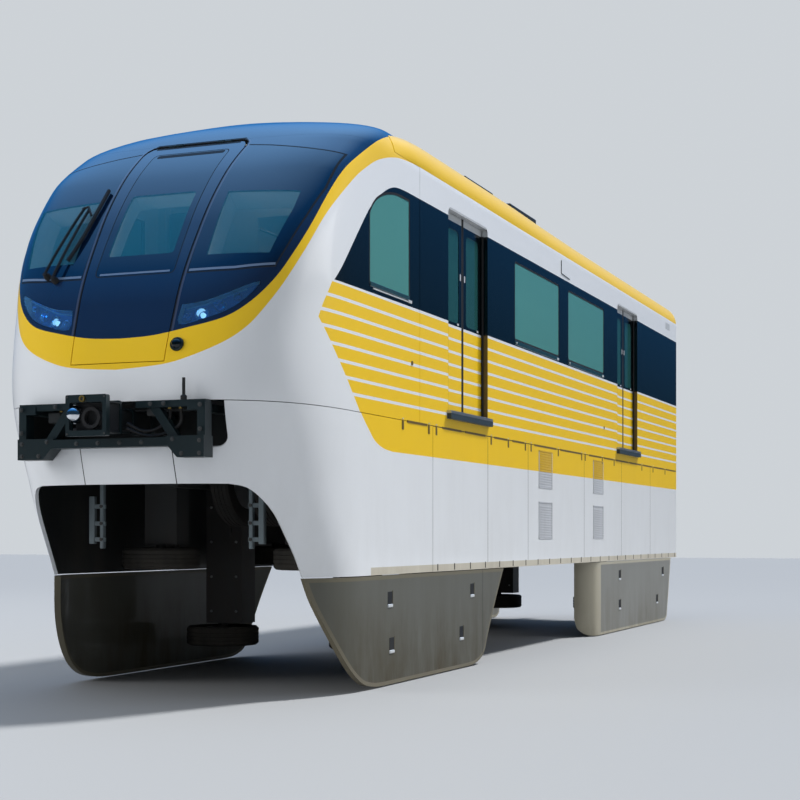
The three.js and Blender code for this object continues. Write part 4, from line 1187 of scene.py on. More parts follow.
class MONORAIL_OT_side_walls(bpy.types.Operator):
    """Painted skins of the two side walls with their door openings, headers and small fittings"""

    bl_idname = "monorail.side_walls"
    bl_label = "Side Walls"

    def execute(self, context):
        trim = context.scene.car_trim
        dress("wall_lining", "side_wall_left", "side_wall_right")
        holes = [[(u, max(v, 1.142)) for u, v in round_rect(around(x, DOOR_HALF), (0.5, DOOR_TOP_Z), 0.07)]
                 for x in DOORS.values()]
        holes += [round_rect(ends, WINDOW_Z, 0.05) for ends in WINDOWS.values()]
        corner = CORNER_RADIUS * CORNER_TURN
        lines = [[(x, SHOULDER_Z + corner * i / 14) for x in (REAR_X, CAB_JOINT_X)] for i in range(14)]
        whole = rect(REAR_X, CAB_JOINT_X, SEAM_Z, SHOULDER_Z + corner)
        for name, side in SIDES.items():
            build = Build()
            skin(build, wall_place(side, trim.proud), "body_white", [whole], holes,
                 wall_regions(REAR_X, CAB_JOINT_X, trim), step=3.0, depth=trim.proud, lines=lines)
            for x in DOORS.values():
                self.doorway(build, x, side)
            self.fittings(build, side)
            self.roof_edge(build, side)
            build.piece(f"side_wall_{name}_skin", slot="body_white")
        return {"FINISHED"}

    def doorway(self, build, x, side):
        """Jamb linings, head lining, and the step with its tread plate."""
        depth = (1.392, 1.4515)
        for end in (-1, 1):
            jamb = x + end * DOOR_HALF
            face = (jamb - end * 0.006, jamb + end * 0.001)
            boxes(build, side, [
                ("jamb_shade", face, depth, (1.15, BAND_Z[0]), 0.0015),
                ("band_black", face, depth, BAND_Z, 0.0015),
                ("header_grey", face, depth, (BAND_Z[1], 3.19), 0.0015),
                ("rubber", (jamb - end * 0.03, jamb), (1.388, 1.406), (1.16, 3.13)),
            ])
        boxes(build, side, [
            ("header_grey", around(x, 0.6), (1.39, 1.4515), (3.2, DOOR_TOP_Z), 0.003),
            ("tread_plate", around(x, 0.676), (1.4, 1.4997), (1.1405, 1.17), 0.003),
            *[("tread_plate", around(x - 0.6 + 0.15 * i, 0.05), (1.42, 1.49), (1.1695, 1.1715), 0.0008)
              for i in range(9)],
        ])

    def roof_edge(self, build, side):
        """Raised yellow moulding along the roof's edge, which fades out on the nose."""
        stations = [*np.linspace(REAR_X, 4.2, 30), *np.linspace(4.3, 5.5, 13)]
        points = []
        for x in stations:
            height = float(np.interp(x, *zip(*EDGE_RISE)))
            turns = np.radians(np.linspace(9, float(np.interp(x, *zip(*EDGE_TURNS))), 15))
            outer = [CORNER_RADIUS + 0.0026 + height * math.sin(math.pi * i / 14) ** 0.8 for i in range(15)]
            ring = [*zip(turns, outer), *[(turn, CORNER_RADIUS - 0.004) for turn in turns[::-1]]]
            points += [(x, side * (HALF_WIDTH - CORNER_RADIUS + radius * math.cos(turn)),
                        SHOULDER_Z + radius * math.sin(turn)) for turn, radius in ring]
        build.solid(points, capped(len(stations), 30), "accent_yellow")

    def fittings(self, build, side):
        """Window rails, latches, the angle on the white cant and the clips under the seam."""
        for low, high in WINDOWS.values():
            boxes(build, side, [
                ("rail_teal", (low + 0.01, high - 0.01), (1.444, 1.457), (2.08, 2.13)),
                ("bolt_pale", (low + 0.03, low + 0.11), (1.444, 1.461), (2.088, 2.118), 0.006),
            ])
            lathe(build, "bolt_pale", [(0.012, 0), (0.012, 0.008), (0.008, 0.01)],
                  (high - 0.06, side * 1.4555, 2.105), (0, side, 0), 16)
        angle = [(-0.17, side * 1.455, 3.35), (-0.17, side * 1.455, 3.19), (-0.56, side * 1.455, 3.17)]
        tube(build, "frame_steel", angle, 0.006, 6)
        for x, z in [(5.06, 1.54), (-2.37, 1.4)]:
            lathe(build, "jamb_shade", [(0.022, 0), (0.022, 0.006), (0.016, 0.008)],
                  (x, side * HALF_WIDTH, z), (0, side, 0), 20)
        boxes(build, side, [
            ("header_grey", (-6.75, -6.45), (1.45, 1.455), (3.26, 3.36), 0.001),
            *[("jamb_shade", ends, CLIP_Y, (0.973, 0.995), 0.001) for ends in CLIP_DASHES],
            *[("jamb_shade", around(x, 0.022), CLIP_Y, (0.9, 0.985), 0.001) for x in CLIP_TICKS],
            *[("bolt_pale", around(x, 0.014), (1.45, 1.456), (0.996, 1.008), 0.002) for x in CLIP_TICKS],
        ])


class MONORAIL_OT_side_glass(bpy.types.Operator):
    """Saloon and cab side windows with their rubber frames"""

    bl_idname = "monorail.side_glass"
    bl_label = "Side Glass"

    def execute(self, context):
        for name, side in SIDES.items():
            build = Build()
            for low, high in WINDOWS.values():
                outline = round_rect((low + 0.001, high - 0.001), (2.131, 3.029), 0.05)
                self.pane(build, side, 1.4505, outline, inset(outline, 0.02))
            box(build, "band_black", (-0.49, -0.09), (1.42, 1.4415), (2.2, 2.93), 0.002, side)
            build.piece(f"saloon_window_{name}", [f"saloon_glazing_{name}"], "tinted_glass")
            cab = Build()
            self.pane(cab, side, 1.4495, CAB_WINDOW, inset(divide(CAB_WINDOW, 0.3), 0.022))
            boxes(cab, side, [
                ("rail_teal", (5.13, 6.1), (1.444, 1.4565), (2.118, 2.16)),
                ("bolt_pale", (5.14, 6.03), (1.4495, 1.456), (2.1, 2.112), 0.002),
                ("bolt_pale", (5.08, 5.17), (1.4495, 1.461), (2.096, 2.124)),
            ])
            cab.piece(f"cab_window_{name}_pane", [f"cab_window_{name}"], "tinted_glass")
        return {"FINISHED"}

    def pane(self, build, side, y, outline, inner):
        """Glass in a rubber frame that stands a little proud of it."""
        skin(build, flat_place(side, y), "rubber", [outline], [inner], step=2.0, depth=0.03)
        skin(build, flat_place(side, y - 0.0025), "side_glass", [inner], step=2.0, depth=0.012)


class MONORAIL_OT_door_leaves(bpy.types.Operator):
    """Sliding leaves with their painted lines, glass, seals, handles and hangers"""

    bl_idname = "monorail.door_leaves"
    bl_label = "Door Leaves"

    def execute(self, context):
        for door, centre in DOORS.items():
            for name, side in SIDES.items():
                for end, sign in ENDS.items():
                    self.leaf(context.scene.car_trim, f"door_{door}_{name}_{end}", centre, side, sign)
        return {"FINISHED"}

    def leaf(self, trim, node_name, centre, side, sign):
        build = Build()
        inner, outer = LEAF_Y
        seam = centre + sign * 0.003
        ends = sorted((seam, centre + sign * 0.665))
        whole = rect(*ends, 1.16, 3.252)
        seal = (rect(*sorted((seam, seam + sign * 0.03)), 1.0, 3.3), "rubber")
        middle = centre + sign * DOOR_HALF / 2
        light = round_rect(around(middle, 0.2), (2.1, 3.05), 0.06)
        depth = (outer - inner) / 2
        skin(build, flat_place(side, outer), "header_grey", [whole], [light],
             [*wall_regions(*ends, trim)[:-1], seal], step=2.0, depth=depth)
        skin(build, flat_place(-side, -inner), "lining_grey", [whole], [light], [seal], step=2.0, depth=depth)
        skin(build, flat_place(side, outer - 0.004), "door_glass", [light], step=2.0)
        proud = (outer - 0.001, outer + 0.003)
        latch = round_rect(sorted((seam + sign * 0.048, seam + sign * 0.08)), (2.555, 2.625), 0.014)
        prism(build, "bolt_pale", latch, "y", *sorted(side * y for y in proud), 0.0015)
        boxes(build, side, [
            ("bolt_pale", (middle - 0.2, middle - 0.15), proud, (2.083, 2.103), 0.001),
            *[("frame_steel", around(middle + along, 0.04), (1.356, 1.376), (3.25, 3.2597), 0.002)
              for along in (-0.2, 0.2)],
        ])
        build.piece(f"{node_name}_leaf", [node_name], "door_yellow", node_name)


class MONORAIL_OT_skirts(bpy.types.Operator):
    """Side skirts with vents, seams and clips, and the grey bogie skirts with their lifting slots"""

    bl_idname = "monorail.skirts"
    bl_label = "Skirts"

    def execute(self, context):
        dress("tank_black", "side_skirt_left", "side_skirt_right")
        for name, side in SIDES.items():
            self.side_skirt(context.scene.car_trim, name, side)
            self.front_bogie_skirt(name, side)
            self.rear_bogie_skirt(name, side)
        return {"FINISHED"}

    def side_skirt(self, trim, name, side):
        build = Build()
        ends = (REAR_X, SKIRT_JOINT_X - 0.004)
        regions = [
            (rect(*ends, YELLOW_FOOT_Z, 1.0), "accent_yellow"),
            (rect(*ends, *FOOT_TRIM_Z), "foot_trim"),
            *[(rect(*around(x, 0.005), FOOT_TRIM_Z[1], 1.0), "seam_dark") for x in PANEL_SEAMS],
        ]
        skin(build, flat_place(side, HALF_WIDTH + trim.proud), "body_white",
             [rect(*ends, SKIRT_Z, SEAM_Z - 0.01)], (), regions, step=3.0, depth=trim.proud)
        for x in [(0.24, 0.82), (-2.32, -1.77)]:
            for z in [(0.483, 0.936), (-0.126, 0.32)]:
                self.vent(build, side, x, z)
        for x in np.arange(5.85, REAR_X, -trim.clip_step):
            if x < ends[1]:
                box(build, "seam_dark", around(x, 0.01), CLIP_Y, (-0.43, -0.365), 0.001, side)
        build.piece(f"side_skirt_{name}_skin", slot="body_white")

    def vent(self, build, side, x, z):
        """A framed grille of sloped slats in the skirt's paint at each height, darkened as painted shade."""
        (x0, x1), (z0, z1) = x, z
        rim = 0.015
        for u, v in [(x, (z0, z0 + rim)), (x, (z1 - rim, z1)), ((x0, x0 + rim), z), ((x1 - rim, x1), z)]:
            box(build, self.vent_paint(v[0]), u, (1.448, 1.4565), v, 0.001, side)
        split = min(max(YELLOW_FOOT_Z, z0), z1)
        for low, high, finish in [(z0, split, "vent_white"), (split, z1, "vent_yellow")]:
            if high - low > 0.01:
                box(build, finish, x, (1.44, 1.4525), (low, high), 0.001, side)
        for i in range(int((z1 - z0 - 0.03) / 0.03)):
            low = z0 + 0.018 + 0.03 * i
            slat = [(side * y, low + up) for y, up in
                    [(1.4515, 0.004), (1.4545, 0), (1.455, 0.006), (1.4515, 0.024)]]
            prism(build, self.vent_paint(low), slat, "x", x0 + 0.016, x1 - 0.016, 0.0005)

    # Picks the darker copy of the white or yellow paint, as painted shade, for a vent part at a height
    def vent_paint(self, z):
        return "vent_yellow" if z > YELLOW_FOOT_Z else "vent_white"

    def slots(self, build, spots, place):
        """Dark lifting slots with a bright lower lip."""
        for spot in spots:
            at, normal = place(spot)
            side = math.copysign(1, normal.y)
            x, y, z = at.x, side * at.y, spot[1]
            boxes(build, side, [
                ("seam_dark", around(x, 0.06), (y - 0.02, y + 0.002), around(z, 0.06)),
                ("bolt_pale", around(x, 0.06), (y - 0.01, y + 0.009), (z - 0.085, z - 0.055), 0.006),
                ("skirt_lip", (x - 0.07, x - 0.058), (y - 0.01, y + 0.006), around(z, 0.07)),
            ])

    def front_bogie_skirt(self, name, side):
        build = Build()

        def place(spot):
            at, normal = on_nose((spot[0], rise(SKIRT_Z)))
            return Vector((at.x, at.y, spot[1])), Vector((normal.x, normal.y, 0)).normalized()

        def spots(points):
            return [(seen_from_side(x, SKIRT_Z, side)[0], z) for x, z in points]

        outline = spots(divide([*smooth(FRONT_SKIRT_HEEL, 4), *smooth(FRONT_SKIRT_CORNER, 4)], 0.1))
        seam = spots(divide(rect(2.93, 2.94, -1.45, -0.44), 0.1))
        skin(build, place, "skirt_lip", [outline], (),
             [(inset(outline, 0.035), "skirt_grey"), (seam, "seam_dark")],
             grid(sorted((side * 1.5, side * 6)), (BOGIE_SKIRT_Z[0], SKIRT_Z), 0.12), 0.08, 0.055)
        self.slots(build, spots([(5.62, -0.655), (5.58, -1.075), (3.29, -0.645), (3.63, -1.074)]), place)
        build.piece(f"bogie_skirt_front_{name}_panel", [f"bogie_skirt_front_{name}"], "skirt_grey")

    def rear_bogie_skirt(self, name, side):
        build = Build()
        plan = np.array([*smooth(REAR_SKIRT_PLAN, 6), (-6.85, HALF_WIDTH)])
        run = np.concatenate([[0], np.cumsum(np.hypot(*np.diff(plan, axis=0).T))])
        foot_z, top_z = BOGIE_SKIRT_Z
        end = run[-1]

        def on_plan(way):
            return np.array([np.interp(way, run, column) for column in plan.T])

        def way_to(x):
            return float(np.interp(-x, -plan[:, 0], run))

        def place(spot):
            x, y = on_plan(spot[0])
            way = Vector(on_plan(spot[0] + 0.02) - on_plan(spot[0] - 0.02)).normalized()
            return Vector((x, side * y, spot[1])), Vector((way.y, -side * way.x, 0))

        toe = smooth([(0.0, -1.2), (0.05, -1.35), (0.2, -1.43), (0.4, foot_z)], 4)
        heel = smooth([(end - 0.47, foot_z), (end - 0.36, -1.4), (end - 0.27, -1.28), (end, top_z)], 4)
        outline = [(0, top_z), *toe, *heel]
        # The rim and the rounded front as far as x = -2.2 are pale beige: painted sunlight on the skirt's
        # nose
        lip = rect(-0.1, way_to(-2.2), -0.4, -1.5)
        skin(build, place, "skirt_edge", [outline], (),
             [(inset(outline, 0.035), "skirt_pale"), (lip, "skirt_edge")],
             grid((0, end), (foot_z, SKIRT_Z), 0.12), 0.08, 0.055)
        marks = [(-3.3, -0.637), (-3.3, -1.059), (-6.22, -0.646), (-5.8, -1.07)]
        self.slots(build, [(way_to(x), z) for x, z in marks], place)
        build.piece(f"bogie_skirt_rear_{name}_panel", [f"bogie_skirt_rear_{name}"], "skirt_grey")


class MONORAIL_OT_front_end(bpy.types.Operator):
    """Coupler face, bumper bolts, hoses, guard brackets and the short mast on the seam"""

    bl_idname = "monorail.front_end"
    bl_label = "Front End"

    def execute(self, context):
        dress("frame_steel", "bumper_frame", "rear_drawbar")
        self.coupler()
        build = Build()
        self.bolts(build)
        self.hoses(build)
        self.guards(build)
        tube(build, "rubber", [(8.03, 0.655, 0.93), (8.03, 0.655, 1.16)], 0.013)
        lathe(build, "rubber", [(0.026, 0), (0.026, 0.03), (0.014, 0.04)], (8.03, 0.655, 0.985), UP, 16)
        build.piece("front_end_fittings", slot="dark_steel")
        return {"FINISHED"}

    def coupler(self):
        """Open coupler head with its ball, pin ring and cone, on a dark shank."""
        build = Build()
        hole = round_rect((-0.15, 0.15), (0.735, 0.955), 0.015, 2)
        for low, high, head in [
                (8.36, COUPLER_FACE_X, round_rect((-0.185, 0.185), (0.69, 1.015), 0.012, 2)),
                (8.13, 8.16, round_rect((-0.155, 0.155), (0.72, 0.985), 0.012, 2))]:
            skin(build, lambda spot, x=high: (Vector((x, *spot)), Vector(AHEAD)), "frame_steel",
                 [head], [hole], step=1.0, depth=high - low)
        for z in [(0.72, 0.735), (0.955, 0.97)]:
            box(build, "tank_black", (8.16, 8.36), (-0.155, 0.155), z, 0.003)
        box(build, "seam_dark", (8.16, 8.33), (-0.145, 0.145), (0.73, 0.96), 0.006)
        ball = [(0.074 * math.cos(turn), 0.074 * math.sin(turn)) for turn in np.linspace(-1.2, 1.45, 16)]
        lathe(build, "chrome", [*ball, (0.0, 0.074)], (8.352, -0.135, 0.865), AHEAD, 36)
        hoop(build, "rubber", rect(0.058, 0.085, -0.06, -0.02), (8.41, 0.03, 0.835), AHEAD)
        pin = (COUPLER_FACE_X, -0.03, 0.982)
        hoop(build, "brass", rect(0.014, 0.026, -0.006, 0.012), pin, AHEAD, 24)
        lathe(build, "bogie_steel", [(0.012, -0.004), (0.012, 0.004)], pin, AHEAD, 16)
        for y, z in [(-0.168, 0.708), (0.168, 0.708), (0.168, 0.997), (-0.168, 0.997)]:
            lathe(build, "bogie_steel", [(0.009, -0.001), (0.009, 0.006)], (COUPLER_FACE_X, y, z), AHEAD, 6)
        prism(build, "tank_black", round_rect((-0.09, 0.09), (0.76, 0.93), 0.03), "x", 6.75, 8.135, 0.004)
        collar = round_rect((-0.105, 0.105), (0.745, 0.945), 0.035)
        for x in (7.2, 7.55, 7.85):
            prism(build, "frame_steel", collar, "x", *around(x, 0.02), 0.004)
        build.piece("coupler_head", ["front_coupler"], "dark_steel")

    def bolts(self, build):
        """Hexagon heads with their washers on the bumper's face and feet."""
        for y, z in [(0.66, 0.56), (0.82, 0.56), (0.82, 0.66), (0.58, 0.675), (0.3, 0.655), (0.1, 0.655),
                     (0.825, 0.94), (0.825, 0.75), (0.5, 0.958), (0.38, 0.958)]:
            for side in SIDES.values():
                spot = (BUMPER_FACE_X, side * y, z)
                lathe(build, "bogie_steel", [(0.014, 0), (0.014, 0.009), (0.011, 0.012)], spot, AHEAD, 6)
                lathe(build, "bogie_steel", [(0.019, -0.001), (0.019, 0.003)], spot, AHEAD, 20)

    def hoses(self, build):
        """Air hoses and jumper cables from the bumper to the coupler's shank."""
        for y0, y1, z in [(-0.5, -0.16, 0.9), (-0.42, -0.16, 0.86), (0.5, 0.16, 0.88), (0.6, 0.16, 0.84)]:
            path = [(7.98, y0, 0.93), (7.99, y0, z - 0.04), (8.0, (y0 * 2 + y1) / 3, z - 0.12),
                    (8.02, (y0 + y1 * 2) / 3, z - 0.13), (8.06, y1, z - 0.07)]
            tube(build, "rubber", smooth(path, 5), 0.013, 8)
            lathe(build, "brass", [(0.018, 0), (0.018, 0.03)], (7.98, y0, 0.92), UP, 12)
        box(build, "tank_black", (7.9, 8.0), (-0.62, -0.5), (0.83, 0.92), 0.008)
        box(build, "bogie_steel", (7.9, 8.0), (0.3, 0.4), (0.87, 0.93), 0.008)

    def guards(self, build):
        """Ladder-like guard brackets that hang ahead of the guide wheels."""
        rungs = (-0.12, 0.02, 0.17)
        for side in SIDES.values():
            boxes(build, side, [
                ("bracket_grey", (6.96, 7.01), around(0.73, 0.0175), (-0.2, 0.9), 0.006),
                ("bracket_grey", (6.96, 7.01), around(0.83, 0.0275), (-0.16, 0.26), 0.006),
                *[("bracket_grey", (6.97, 7.0), (0.7, 0.85), around(z, 0.02), 0.005) for z in rungs],
            ])
            for z in rungs:
                lathe(build, "bogie_steel", [(0.016, 0), (0.016, 0.01)], (7.01, side * 0.73, z), AHEAD, 6)


class MONORAIL_OT_wheels(bpy.types.Operator):
    """Tyred load wheels, guide wheels and stabilising wheels with their hubs and tread"""

    bl_idname = "monorail.wheels"
    bl_label = "Wheels"

    def execute(self, context):
        for bogie, x in BOGIES.items():
            for end, sign in ENDS.items():
                self.axle(f"wheelset_{bogie}_{end}", (x + sign * AXLE_OFFSET, 0, AXLE_Z))
            for name, side in SIDES.items():
                y = side * SIDE_WHEEL_Y
                for end, sign in ENDS.items():
                    centre = (x + sign * GUIDE_OFFSET, y, GUIDE_Z)
                    self.side_wheel(f"guide_wheel_{bogie}_{name}_{end}", centre)
                self.side_wheel(f"stabilising_wheel_{bogie}_{name}", (x, y, STABILISING_Z))
        return {"FINISHED"}

    def tyre(self, build, centre, axis, radius, bead, middle=0.0, half=0.1):
        """A tyre of round section with straight grooves round its tread."""
        edges = [half * (0.39 * i - 0.78) for i in range(5)]
        tread = []
        for low, high in zip(edges, edges[1:]):
            tread += [(radius, low + 0.004), (radius, high - 0.004), (radius - 0.009, high - 0.003),
                      (radius - 0.009, high + 0.003)]
        shoulder = [(radius - 0.022, half * 0.95), (radius - 0.06, half), (bead + 0.02, half * 0.9),
                    (bead, half * 0.72)]
        profile = [(r, middle + h) for r, h in [*tread[:-2], *mirrored(shoulder)]]
        hoop(build, "tyre_rubber", profile, centre, axis, 56)

    def axle(self, name, centre):
        """Two tyres on their bolted wheels, on one stepped axle."""
        build = Build()
        for side in SIDES.values():
            self.tyre(build, centre, ACROSS, 0.503, 0.33, side * 0.2)
            rim = [(0.335, 0.125), (0.335, 0.275), (0.31, 0.285), (0.3, 0.26), (0.29, 0.22), (0.14, 0.24),
                   (0.14, 0.1), (0.3, 0.12)]
            hoop(build, "cast_alloy", [(r, side * h) for r, h in rim], centre, ACROSS, 40)
            bolt_circle(build, [(0.017, 0), (0.017, 0.02), (0.01, 0.026)],
                        (centre[0], side * 0.228, centre[2]), (0, side, 0), 0.215, 10)
        half = [(0.06, -0.56), (0.0745, -0.555), (0.0745, -0.345), (0.145, -0.335), (0.145, -0.05),
                (0.128, -0.04)]
        lathe(build, "cast_alloy", mirrored(half), centre, ACROSS)
        build.piece(f"{name}_tyres", [name], "tyre_rubber", name)

    def side_wheel(self, name, centre):
        """One tyre on a wheel that turns about an upright axis."""
        build = Build()
        self.tyre(build, centre, UP, 0.365, 0.225)
        half = [(0.0503, -0.0598), (0.1, -0.0598), (0.11, -0.045), (0.19, -0.02), (0.215, -0.075),
                (0.23, -0.078)]
        hoop(build, "cast_alloy", mirrored(half), centre, UP, 40)
        for face in (-1, 1):
            bolt_circle(build, [(0.013, 0), (0.013, 0.014), (0.008, 0.018)],
                        (centre[0], centre[1], centre[2] + face * 0.028), (0, 0, face), 0.155, 8)
        build.piece(f"{name}_tyre", [name], "tyre_rubber", name)


class MONORAIL_OT_bogies(bpy.types.Operator):
    """Motors, springs, bolts and pipes on the two bogie frames"""

    bl_idname = "monorail.bogies"
    bl_label = "Bogie Fittings"

    def execute(self, context):
        dress("bogie_steel", "bogie_frame_front", "bogie_frame_rear")
        for name, x in BOGIES.items():
            build = Build()
            for side in SIDES.values():
                self.side_fittings(build, x, side)
            for end in ENDS.values():
                lathe(build, "tank_black", [(0.12, 0), (0.14, 0.03), (0.14, 0.34), (0.12, 0.37)],
                      (x + end * 0.33, end * 0.22, 0.46), (0, -end, 0), 28)
                for y in (-0.3, 0, 0.3):
                    lathe(build, "cast_alloy", [(0.018, 0), (0.018, 0.012)], (x + end * 0.1, y, 0.65), UP, 6)
            hoop(build, "rubber", [(0.172, 0.0), (0.25, 0.0), (0.27, 0.05), (0.25, 0.1), (0.27, 0.15),
                                   (0.25, 0.2), (0.172, 0.2)], (x, 0, 0.66), UP, 40)
            build.piece(f"bogie_{name}_fittings", slot="dark_steel", body=f"bogie_{name}")
        return {"FINISHED"}

    def side_fittings(self, build, x, side):
        """Bearing covers, wheel mounts, hoses, bolts and gussets on one side of a frame."""
        cover = [(0.088, 0), (0.088, -0.012), (0.04, -0.03)]
        lathe(build, "cast_alloy", cover, (x, side * SIDE_WHEEL_Y, STABILISING_Z - 0.08), UP, 28)
        for end in ENDS.values():
            axle, guide = x + end * AXLE_OFFSET, x + end * GUIDE_OFFSET
            hoop(build, "cast_alloy", rect(0.079, 0.12, 0, 0.02), (axle, side * 0.642, AXLE_Z), (0, side, 0))
            bolt_circle(build, [(0.011, 0), (0.011, 0.01)], (axle, side * 0.662, AXLE_Z), (0, side, 0),
                        0.1, 6, math.pi / 6)
            box(build, "bogie_steel", around(guide, 0.09), (0.58, 0.66), (0.42, 0.56), 0.01, side)
            lathe(build, "cast_alloy", [(0.075, 0), (0.075, 0.03), (0.05, 0.045)],
                  (guide, side * SIDE_WHEEL_Y, 0.42), UP, 28)
            lathe(build, "cast_alloy", cover, (guide, side * SIDE_WHEEL_Y, GUIDE_Z - 0.08), UP, 28)
            path = [(x + end * along, side * y, z) for along, y, z in
                    [(GUIDE_OFFSET, 0.62, 0.6), (1.0, 0.66, 0.68), (0.7, 0.66, 0.69), (0.4, 0.64, 0.68),
                     (0.2, 0.5, 0.66)]]
            tube(build, "rubber", smooth(path, 5), 0.012, 8)
            gusset = [(x + end * 0.32, 0.36), (x + end * 0.15, 0.36), (x + end * 0.15, -0.1)]
            prism(build, "bogie_steel", gusset, "y", *around(side * 0.62, 0.012))
            for z in (-0.85, -0.5, -0.15, 0.2):
                for y in (0.56, 0.84):
                    lathe(build, "cast_alloy", [(0.014, 0), (0.014, 0.012), (0.009, 0.015)],
                          (x + end * 0.15, side * y, z), (end, 0, 0), 6)


class MONORAIL_OT_rear_end(bpy.types.Operator):
    """Rear wall trim, gangway bellows and jumper boxes"""

    bl_idname = "monorail.rear_end"
    bl_label = "Rear End"

    def execute(self, context):
        dress("body_white", "rear_wall")
        build = Build()
        step = 0.0342
        rings = []
        for fold in range(6):
            for back, draw in [(0, 0.035), (0.008, 0.004), (0.017, 0), (0.026, 0.004), (step - 0.001, 0.035)]:
                ring = round_rect((-0.64 + draw, 0.64 - draw), (1.01 + draw, 3.33 - draw), 0.12)
                rings.append([(GANGWAY_X[1] - fold * step - back, *spot) for spot in ring])
        hole = round_rect((-0.49, 0.49), (1.125, 3.175), 0.02)
        rings += [[(x, *spot) for spot in hole] for x in GANGWAY_X]
        build.solid([point for ring in rings for point in ring], looped(len(rings), len(hole)), "bellows")
        build.piece("gangway_folds", ["gangway_bellows"], "bellows_rubber")
        self.wall_trim()
        return {"FINISHED"}

    def wall_trim(self):
        """Handrails, jumper boxes, seams and lamps on the wall, and the gangway's pale frame."""
        build = Build()
        for side in SIDES.values():
            rail = [(REAR_X, 1.3), (-7.36, 1.33), (-7.36, 2.0), (-7.36, 2.7), (REAR_X, 2.73)]
            tube(build, "grab_steel", smooth([(x, side * 1.2, z) for x, z in rail], 4), 0.014)
            box(build, "frame_steel", (-7.4, -7.299), (0.8, 1.1), (1.05, 1.3), 0.012, side)
            box(build, "seam_dark", (-7.3025, -7.299), (1.36, 1.366), (1.0, 3.4), 0.001, side)
            box(build, "strip_light", (-7.2, -7.176), (0.4475, 0.4925), (1.15, 3.15), side=side)
            for y in (0.87, 0.95, 1.03):
                socket = (-7.4, side * y, 1.17)
                lathe(build, "rubber", [(0.03, 0), (0.03, 0.02), (0.022, 0.05)], socket, BACK, 20)
            lamp = (REAR_X, side * 1.22, 3.1)
            lathe(build, "lamp_lens", [(0.05, 0), (0.05, 0.012), (0.03, 0.02)], lamp, BACK, 28)
        box(build, "strip_light", (-7.2, -7.176), (-0.495, 0.495), (3.155, 3.205))
        build.piece("rear_wall_trim", slot="dark_steel")


class MONORAIL_OT_roof(bpy.types.Operator):
    """Roof skin with its ribs and the low boxes on its edges, and the covers of the roof units"""

    bl_idname = "monorail.roof"
    bl_label = "Roof"

    def execute(self, context):
        trim = context.scene.car_trim
        dress("roof_grey", "roof")
        dress("tank_black", "roof_unit_front", "roof_unit_rear")
        drop = CROWN_Z - CORNER_TOP_Z
        build = Build()

        def place(spot):
            x, y = spot
            normal = Vector((0, 2 * drop * y / CROWN_HALF**2, 1)).normalized()
            return Vector((x, y, CROWN_Z - drop * (y / CROWN_HALF) ** 2)) + normal * trim.proud, normal

        lines = [[(REAR_X, y), (CAB_JOINT_X, y)] for y in np.linspace(-CROWN_HALF, CROWN_HALF, 25)[1:-1]]
        skin(build, place, "roof_grey", [rect(REAR_X, CAB_JOINT_X, -CROWN_HALF, CROWN_HALF)], step=3.0,
             depth=trim.proud, lines=lines)
        for x in np.arange(-6.6, 4.7, 0.75):
            if not any(low - 0.1 < x < high + 0.1 for low, high in ROOF_UNITS):
                tube(build, "roof_grey", [place((x, y))[0] for y in np.linspace(-1.06, 1.06, 13)], 0.011, 6)
        for side in SIDES.values():
            boxes(build, side, [("tank_black", ends, (0.9, 1.06), (3.7, top), 0.015)
                                for ends, top in ROOF_BOXES.items()])
        for low, high in ROOF_UNITS:
            self.unit(build, low, high)
        build.piece("roof_skin", slot="roof_grey")
        return {"FINISHED"}

    def unit(self, build, low, high):
        """Slatted grilles and two fan rings on a roof unit."""
        for y in np.arange(-0.82, 0.83, 0.06):
            if not 0.06 <= abs(y) <= 0.55:
                box(build, "frame_steel", (low + 0.1, high - 0.1), around(y, 0.015), (3.925, ROOF_UNIT_TOP_Z),
                    0.002)
        for y in (-0.31, 0.31):
            fan = Vector(((low + high) / 2, y, ROOF_UNIT_TOP_Z))
            hoop(build, "frame_steel", rect(0.2, 0.22, -0.012, 0), fan, UP, 36)
            for i in range(8):
                turn = math.pi * i / 8
                spoke = Vector((math.cos(turn), math.sin(turn), 0)) * 0.2
                hub = fan - Vector((0, 0, 0.004))
                tube(build, "frame_steel", [hub - spoke, hub + spoke], 0.003, 6)


class MONORAIL_OT_underfloor(bpy.types.Operator):
    """Doors, latches and vents on the equipment boxes under the floor"""

    bl_idname = "monorail.underfloor"
    bl_label = "Underfloor Equipment"

    def execute(self, context):
        dress("tank_black", "underfloor_equipment")
        dress("floor_vinyl", "floor")
        build = Build()
        for side in SIDES.values():
            for low, high in [(-1.55, -0.7), (-0.65, 0.2), (0.25, 1.1), (1.15, 1.95)]:
                self.cover(build, side, low, high)
            for y in (0.4, 0.48, 0.56):
                tube(build, "rubber", [(x, side * y, 0.985) for x in (-6.9, -3.0, 2.2, 6.2)], 0.017, 8)
        build.piece("underfloor_fittings", slot="dark_steel")
        return {"FINISHED"}

    def cover(self, build, side, low, high):
        """One box's outer door with latches, vents and screws, and its inner door."""
        latch = around((low + high) / 2, 0.05)
        boxes(build, side, [
            ("frame_steel", (low, high), (1.245, 1.262), (-0.3, 0.85), 0.006),
            ("frame_steel", (low, high), (0.612, 0.625), (-0.3, 0.75), 0.005),
            *[("cast_alloy", latch, (1.26, 1.272), around(z, 0.02)) for z in (-0.15, 0.7)],
        ])
        for i in range(6):
            z = 0.1 + 0.05 * i
            prism(build, "tank_black", [(side * 1.26, z), (side * 1.272, z), (side * 1.26, z + 0.03)], "x",
                  low + 0.12, high - 0.12, 0.001)
        for x in (low + 0.06, high - 0.06):
            for z in (-0.25, 0.8):
                screw = (x, side * 1.262, z)
                lathe(build, "cast_alloy", [(0.012, 0), (0.012, 0.006)], screw, (0, side, 0), 12)


